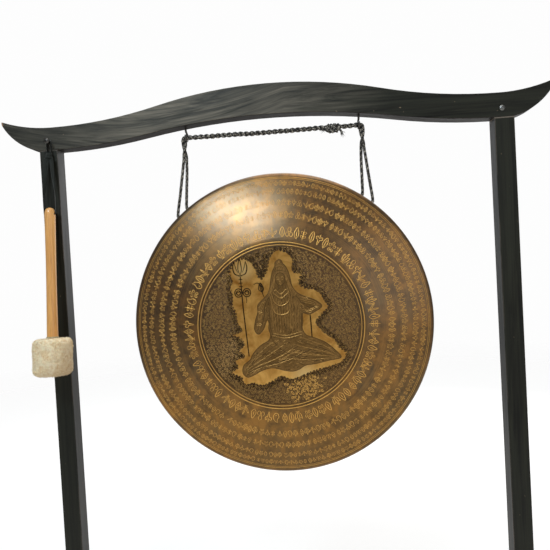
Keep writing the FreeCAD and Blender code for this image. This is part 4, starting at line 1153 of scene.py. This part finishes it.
def side_cord(name, side, materials, chance):
    """Cuts one side's cord into a bend at the hook, a straight middle and a bend at the holes."""
    path = side_path(side, chance)
    yarns = braid(path)
    levels = path[:, 2]
    low_point = int(np.argmin(levels))
    end = len(path) - 1
    hooks = [int(np.argmax(levels < HOOK_CUT)), end - int(np.argmax(levels[::-1] < HOOK_CUT))]
    holes = [int(np.argmax(levels[:low_point] < RIM_CUT)),
             low_point + int(np.argmax(levels[low_point:] > RIM_CUT))]

    def piece(part, spans, body=None):
        strands = [[rings[start:stop + 1] for rings in yarns] for start, stop in spans]
        return cord_piece(f"{name}_cord_{part}", strands, materials, body)

    upper = piece("at_hook", ((0, hooks[0]), (hooks[1], end)))
    piece("middle", ((hooks[0], holes[0]), (holes[1], hooks[1])), "sling")
    lower = piece("at_rim", (holes,))
    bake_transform(upper)
    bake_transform(lower)
    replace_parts(upper, f"{name}_cord_drop")
    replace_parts(lower, f"{name}_cord_bight")


def knot(materials, chance):
    """Where the cord's ends are tied: turns round the pair, small loops under it and two frayed tails."""
    strands = []
    for start, turns, wide, tall in ((0.1370, 2.6, 8.4, 8.6), (0.1530, 1.6, 8.2, 8.2)):
        angle = np.linspace(0.3, 0.3 + turns * TAU, int(turns * 40))
        wrap = np.column_stack([start + angle / TAU * 6.3 * MM, HANG_Y + wide * MM * np.cos(angle),
                                CORD_LEVEL - 3.4 * MM + tall * MM * np.sin(angle)])
        strands.append(even(wrap, CORD_STEP))
    for low in (0, 1):
        loop = [(0.136, -0.004, 1.394), (0.131 + low * 0.012, -0.007, 1.387 - low * 0.002),
                (0.140 + low * 0.008, -0.008, 1.381), (0.150 + low * 0.008, -0.007, 1.3835),
                (0.156, -0.004, 1.391)]
        strands.append(smooth_path(loop, CORD_STEP))
    tails = [smooth_path(tail, CORD_STEP) for tail in (
        [(0.141, -0.003, 1.391), (0.134, -0.006, 1.3865), (0.127, -0.006, 1.3870)],
        [(0.160, -0.003, 1.390), (0.165, -0.006, 1.3845), (0.168, -0.005, 1.379)])]
    fibres, faces, shades = [], [], []
    for path in tails:
        ahead = path[-1] - path[-3]
        ahead /= np.linalg.norm(ahead)
        for index in range(60):
            spread = np.array([chance.gauss(0, 1) for _ in range(3)])
            root = path[-2] + spread * 1.0 * MM
            tip = root + ahead * chance.uniform(3, 8) * MM + spread * 2.2 * MM
            bend = (root + tip) / 2 + np.array([chance.gauss(0, 0.6) for _ in range(3)]) * MM
            made = tube_faces(3, 3, len(fibres) * 9)
            fibres.append(sweep(np.array([root, bend, tip]), np.array((0.30, 0.24, 0.12)) * MM, 3))
            faces += made
            shades += [index % 4 == 0] * len(made)
    turns = cord_piece("cord_knot_turns", [braid(strand, 2.7 * MM) for strand in strands + tails], materials,
                       body="stand")
    make_piece("cord_knot_frays", np.vstack(fibres), faces, materials, shades, body="stand")
    return turns


def make_cords():
    chance = random.Random(21)
    materials = [yarn("black_yarn", (0.005, 0.0045, 0.004), (0.110, 0.100, 0.088)),
                 yarn("light_yarn", (0.040, 0.033, 0.026), (1.0, 0.90, 0.74))]
    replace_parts(top_run(materials, chance), "cord_top_run")
    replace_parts(knot(materials, chance), "cord_knot")
    for name, side in (("left", -1), ("right", 1)):
        side_cord(name, side, materials, chance)


make_cords()


# ---------------------------------------------------------------- ribbon strap
MALLET_X = -0.524
PEG_Z, WRAP_Y = 1.403, -0.0255


def flat_band(path, across, width, thick):
    """Rings of a flat band: at each point its width lies along the across vector. Its edges are rounded."""
    ahead = unit(np.gradient(path, axis=0))
    across = np.broadcast_to(np.asarray(across, float), path.shape)
    across = unit(across - ahead * (across * ahead).sum(1)[:, None])
    face = np.cross(ahead, across)
    half = np.broadcast_to(width, len(path))[:, None] / 2
    rings = []
    shares = np.linspace(-1, 1, 7)
    for side, order in ((1, shares), (-1, shares[::-1])):
        for share in order:
            rings.append(path + across * (share * half) + face * (side * (1 - 0.75 * share**4) * thick / 2))
    return np.stack(rings, axis=1)


def band_piece(name, bands, material, body=None):
    vertices, faces, count = [], [], 0
    for rings in bands:
        rows, sides = rings.shape[:2]
        faces += tube_faces(rows, sides, count)
        vertices.append(rings.reshape(-1, 3))
        count += rows * sides
    return make_piece(name, np.vstack(vertices), faces, [material], body=body)


def ribbon_loops():
    """Two ribbons round the peg, side by side."""
    loops = []
    for lane, drop, wide in ((-22.6, 33.5, 5.0), (-19.8, 34.5, 5.5)):
        right, left = [[(MALLET_X + side * 4.3 * MM, lane * MM, PEG_Z),
                        (MALLET_X + side * wide * MM, lane * MM, PEG_Z - 14 * MM),
                        (MALLET_X + side * 3.2 * MM, (lane - 1.5) * MM, PEG_Z - drop * MM)]
                       for side in (1, -1)]
        top = (MALLET_X, lane * MM, PEG_Z + 4.2 * MM)
        path = smooth_path([top] + right + left[::-1], 1.2 * MM, closed=True)[:-1]
        loops.append(flat_band(np.vstack([path, path[:2]]), (0.0, 1.0, 0.0), 5.6 * MM, 0.9 * MM)[:-1])
    return loops


def ribbon_wraps():
    """Two turns of ribbon round a flat core, below the peg."""
    wraps = []
    for level, size in ((1.3705, 7.2), (1.3660, 7.6)):
        turn = np.linspace(0, TAU * 1.02, 40)
        lean = 1.6 * MM * np.sin(turn + level * 900)
        path = np.column_stack([MALLET_X + size * MM * np.cos(turn), WRAP_Y + 4.6 * MM * np.sin(turn),
                                level + lean])
        wraps.append(flat_band(path, (0.0, 0.12, 1.0), 6.5 * MM, 1.0 * MM))
    core = even(np.array([(MALLET_X, WRAP_Y, 1.3760), (MALLET_X, WRAP_Y, 1.3610)]), 1.0 * MM)
    return wraps + [flat_band(core, (1.0, 0.0, 0.0), 12.0 * MM, 6.0 * MM)]


def ribbon_strands(chance):
    """Four strands from the wrap, two down each side of the handle and in at its hole."""
    strands = []
    hole = np.array((MALLET_X, -0.03805, 1.23033))
    for side in (-1, 1):
        for lane in (0, 1):
            reach = 12.8 + lane
            start = np.array((side * (3.6 + 3.6 * lane) * MM, -0.0265 - 0.0012 * lane, 1.3640))
            path = [start, start + (side * 1.2 * MM, -0.001, -0.014),
                    (side * (10.2 + lane * 2.0) * MM, -0.0330 - 0.001 * lane, 1.3050),
                    (side * (reach - 0.1) * MM, -0.0365, 1.2620), (side * reach * MM, -0.0375, 1.2400),
                    (side * (reach - 0.2) * MM, -0.0381, 1.2310),
                    (side * (reach - 2.2) * MM, hole[1], hole[2] - 0.2 * MM),
                    (side * 4.0 * MM, hole[1], hole[2]), (0, hole[1], hole[2])]
            path = smooth_path(np.array(path) + (MALLET_X, 0, 0), 1.5 * MM)
            fall = np.clip((1.352 - path[:, 2]) / 0.10, 0, 1)
            fall = fall * fall * (3 - 2 * fall)
            lean = fall * math.pi / 2 * 0.96 + chance.uniform(-0.15, 0.25) * (1 - fall)
            across = np.column_stack([np.cos(lean), -side * np.sin(lean), np.zeros(len(path))])
            across[path[:, 2] < 1.2296] = (0.0, 1.0, 0.0)
            width = 7.6 * MM - 3.2 * MM * np.clip((1.262 - path[:, 2]) / 0.032, 0, 1)
            strands.append(flat_band(path, across, width, 0.9 * MM))
    return strands


def make_strap():
    """A doubled ribbon: a loop over the peg, a small wrap below it, and strands to the hole in the handle."""
    material = ribbon_cloth()
    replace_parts(band_piece("ribbon_loop", ribbon_loops(), material, body="strap_loop"), "strap_loop")
    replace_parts(band_piece("ribbon_wrap", ribbon_wraps(), material, body="strap_loop"), "strap_knot")
    falls = band_piece("ribbon_strands", ribbon_strands(random.Random(5)), material)
    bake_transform(falls)
    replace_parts(falls, "strap_strands")


make_strap()


# ---------------------------------------------------------------- mallet
LEAN = math.radians(4.8)
MALLET = Matrix.Translation((MALLET_X, -0.066, 0.8975)) @ Matrix.Rotation(-LEAN, 4, "X")
HANDLE_TOP = 348.5
HANDLE = [(-40, 10.0), (40, 12.4), (60, 12.3), (100, 11.8), (160, 11.4), (230, 11.3), (290, 11.9),
          (325, 12.2), (336, 12.0), (343, 10.6), (346.6, 7.8), (348.1, 4.2), (HANDLE_TOP, 0)]
HEAD_RADIUS, HEAD_HALF, HEAD_CORNER = 43.4, 42.4, 13.0


def on_mallet(points):
    """World points from mm in the mallet's own frame: z runs up the handle from the middle of the head."""
    return [MALLET @ Vector((x * MM, y * MM, z * MM)) for x, y, z in points]


def turned(profile, segments):
    """Vertices and faces of a closed turned shape; the profile's ends are at radius 0 or are capped flat."""
    turn = np.arange(segments) * TAU / segments
    rows = [np.column_stack([r * np.cos(turn), r * np.sin(turn), np.full(segments, z)]) for z, r in profile]
    return np.vstack(rows), tube_faces(len(profile), segments)


def make_handle():
    heights, radii = np.array(HANDLE).T
    fine = np.unique(np.concatenate([np.linspace(-40, 325, 74), np.linspace(325, HANDLE_TOP, 16), heights]))
    reach = np.maximum(np.interp(fine, heights, radii), 0.02)
    profile = [(z, np.mean(reach[max(0, k - 2):k + 3]) if z < 325 else reach[k]) for k, z in enumerate(fine)]
    vertices, faces = turned(profile, 48)
    handle = make_piece("turned_handle", on_mallet(vertices), faces, [handle_wood()], body="mallet")
    spot = MALLET @ Matrix.Translation((0, 0, 0.334)) @ Matrix.Rotation(math.pi / 2, 4, "Y")
    drill(handle, [spot], 3.4 * MM, 0.04)
    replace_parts(handle, "mallet_handle")


def head_outline(share):
    """Radius and height over the head; share goes from 0 at the top's middle to 1 at the bottom's."""
    flat = HEAD_RADIUS - HEAD_CORNER
    tall = 2 * (HEAD_HALF - HEAD_CORNER)
    corner = math.pi / 2 * HEAD_CORNER
    reach = share * (2 * flat + tall + 2 * corner)
    if reach < flat:
        return reach, HEAD_HALF
    reach -= flat
    if reach < corner:
        turn = reach / HEAD_CORNER
        return flat + HEAD_CORNER * math.sin(turn), HEAD_HALF - HEAD_CORNER * (1 - math.cos(turn))
    reach -= corner
    if reach < tall:
        return HEAD_RADIUS, HEAD_HALF - HEAD_CORNER - reach
    reach -= tall
    if reach < corner:
        turn = reach / HEAD_CORNER
        return flat + HEAD_CORNER * math.cos(turn), -HEAD_HALF + HEAD_CORNER * (1 - math.sin(turn))
    return max(flat - (reach - corner), 0.0), -HEAD_HALF


def fleece_height(spot):
    """How far the wool stands out or in at a point of the head, in mm: soft lumps with small curls."""
    spot = Vector(spot)
    lumps = noise.noise(spot * 0.035) * 1.5
    curls = noise.noise(spot * 0.16 + Vector((9, 4, 2))) * 1.3 + noise.noise(spot * 0.42) * 0.9
    return lumps + curls


def make_pile(wool, chance):
    """Short locks of wool, thickest on the round of the head."""
    locks, faces = [], []
    for _ in range(15000):
        radius, height = head_outline(chance.random())
        if chance.random() > radius / HEAD_RADIUS or (height > HEAD_HALF - 3 and radius < 14):
            continue
        spot = around(radius, chance.uniform(0, TAU), height)
        over = math.copysign((max(abs(height) - HEAD_HALF + HEAD_CORNER, 0) / HEAD_CORNER)**2, height)
        out = (Vector((spot.x, spot.y, 0)) / HEAD_RADIUS + Vector((0, 0, over))).normalized()
        lean = Vector([chance.gauss(0, 0.75) for _ in range(3)])
        root = spot + out * (fleece_height(spot) - 2.0)
        lean -= out * lean.dot(out)
        length = chance.uniform(1.8, 3.4)
        middle = root + (out + lean * 0.4) * length * 0.6
        tip = middle + (out * 0.25 + lean * 0.9).normalized() * length * 0.6
        faces += tube_faces(3, 3, len(locks) * 9)
        locks.append(sweep(np.array([root, middle, tip]), (0.34, 0.26, 0.08), 3))
    make_piece("fleece_pile", on_mallet(np.vstack(locks)), faces, [wool], body="mallet")


def around(radius, turn, height):
    return Vector((radius * math.cos(turn), radius * math.sin(turn), height))


def make_head():
    wool = fleece(MALLET @ Vector((-0.005, 0, 0)), MALLET @ Vector((0.050, 0.010, -0.045)))
    rows, sides = 110, 160
    vertices = []
    for share in np.linspace(0.012, 0.988, rows):
        radius, height = head_outline(share)
        for side in range(sides):
            spot = around(radius, side * TAU / sides, height)
            out = Vector((spot.x, spot.y, 0)).normalized() * min(radius / 30, 1)
            out.z = height / HEAD_HALF * 0.5
            vertices.append(spot + out.normalized() * (fleece_height(spot) - 1.4))
    cover = make_piece("fleece_head", on_mallet(vertices), tube_faces(rows, sides), [wool], body="mallet")
    make_pile(wool, random.Random(11))
    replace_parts(cover, "mallet_cover")


def make_binding():
    """Waxed thread wound over the wool where the head meets the handle."""
    wax = yarn("waxed_thread", (0.42, 0.34, 0.20), (0.66, 0.56, 0.38))
    angle = np.linspace(0, TAU * 4, 240)
    path = np.column_stack([13.2 * np.cos(angle), 13.2 * np.sin(angle), 42.6 + angle / TAU * 0.95])
    vertices = on_mallet(sweep(path, 0.55, 6, up=(0, 0, 1)))
    thread = make_piece("thread_turns", vertices, tube_faces(len(path), 6), [wax], body="mallet")
    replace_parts(thread, "mallet_binding")


make_handle()
make_head()
make_binding()


# ---------------------------------------------------------------- camera, light and floor
LENS_SHARE = 511.07 / 550
FLOOR_REACH = 6.0


def make_camera():
    """Chest high, a little right of the middle, looking slightly left and down, rolled a few degrees."""
    place = Vector((0.0873, -1.2009, GONG_Z + 0.1387))
    yaw, pitch, roll = math.radians(-4.377), math.radians(1.236), math.radians(3.167)
    ahead = Vector((math.sin(yaw) * math.cos(pitch), math.cos(yaw) * math.cos(pitch), -math.sin(pitch)))
    level = Vector((math.cos(yaw), -math.sin(yaw), 0))
    down = ahead.cross(level)
    right = level * math.cos(roll) + down * math.sin(roll)
    up = level * math.sin(roll) - down * math.cos(roll)
    camera = bpy.data.objects.new("camera", bpy.data.cameras.new("camera"))
    bpy.context.scene.collection.objects.link(camera)
    camera.matrix_world = Matrix.Translation(place) @ Matrix((right, up, -ahead)).transposed().to_4x4()
    camera.data.lens = LENS_SHARE * camera.data.sensor_width
    camera.data.clip_start = 0.05
    bpy.context.scene.camera = camera


def soft_light(name, place, target, size, power, colour=(1, 1, 1), length=None):
    """A soft box that faces its target."""
    data = bpy.data.lights.new(name, "AREA")
    data.shape = "RECTANGLE"
    data.size, data.size_y = size, length or size
    data.energy, data.color = power, colour
    light = bpy.data.objects.new(name, data)
    light.location = place
    light.rotation_euler = (Vector(target) - Vector(place)).to_track_quat("-Z", "Y").to_euler()
    bpy.context.scene.collection.objects.link(light)


def make_floor():
    """A pale floor that brightens and then fades out with distance."""
    shader = Shader("pale_floor")
    spread = shader.math("DIVIDE", shader.vector("LENGTH", shader.place)["Value"], FLOOR_REACH)
    pale = shader.node("ShaderNodeBsdfPrincipled", {"Base Color": (0.80, 0.80, 0.79, 1), "Roughness": 0.7})
    lift = shader.math("ADD", 0.36, shader.times(0.30, shader.ramp(spread, (0.15, 0.0), (0.42, 1.0))))
    lit = shader.node("ShaderNodeEmission", {"Strength": lift})
    warm = shader.node("ShaderNodeEmission", {"Color": (1.0, 0.92, 0.78, 1), "Strength": 0.22})
    seen = shader.node("ShaderNodeLightPath").outputs["Is Camera Ray"]
    glow = shader.node("ShaderNodeMixShader", {0: seen, 1: warm.outputs[0], 2: lit.outputs[0]})
    bright = shader.node("ShaderNodeAddShader", {0: pale.outputs[0], 1: glow.outputs[0]})
    clear = shader.node("ShaderNodeBsdfTransparent")
    faded = shader.node("ShaderNodeMixShader", {
        0: shader.ramp(spread, (0.25, 0.0), (0.95, 1.0)), 1: bright.outputs[0], 2: clear.outputs[0]})
    shader.node("ShaderNodeOutputMaterial", {"Surface": faded.outputs[0]})
    corners = [(x * FLOOR_REACH, y * FLOOR_REACH, 0) for x, y in ((-1, -1), (1, -1), (1, 1), (-1, 1))]
    make_piece("floor", corners, [(0, 1, 2, 3)], [shader.material], smooth=False)


def make_studio():
    world = bpy.data.worlds.new("studio")
    bpy.context.scene.world = world
    world.use_nodes = True
    tree = world.node_tree
    tree.nodes.clear()
    seen = tree.nodes.new("ShaderNodeLightPath").outputs["Is Camera Ray"]
    backdrop, glow = tree.nodes.new("ShaderNodeBackground"), tree.nodes.new("ShaderNodeBackground")
    backdrop.inputs["Color"].default_value = (0.985, 0.985, 0.985, 1)
    glow.inputs["Color"].default_value = (0.88, 0.88, 0.88, 1)
    glow.inputs["Strength"].default_value = 0.30
    choose = tree.nodes.new("ShaderNodeMixShader")
    out = tree.nodes.new("ShaderNodeOutputWorld")
    for index, socket in enumerate((seen, glow.outputs[0], backdrop.outputs[0])):
        tree.links.new(socket, choose.inputs[index])
    tree.links.new(choose.outputs[0], out.inputs[0])

    middle = (0, 0, 0.95)
    soft_light("key", (-0.79, -1.80, 2.60), middle, 1.15, 27, (0.84, 1.0, 1.13), 0.40)
    soft_light("fill", (2.2, -2.4, 1.5), middle, 2.2, 12, (0.98, 0.99, 1.0))
    soft_light("top", (0.2, 0.3, 3.2), (0, 0, 0), 2.4, 40)
    soft_light("back", (0.8, 2.6, 1.8), middle, 2.0, 22)
    make_floor()
    bpy.context.scene.view_settings.view_transform = "Standard"


make_camera()
make_studio()
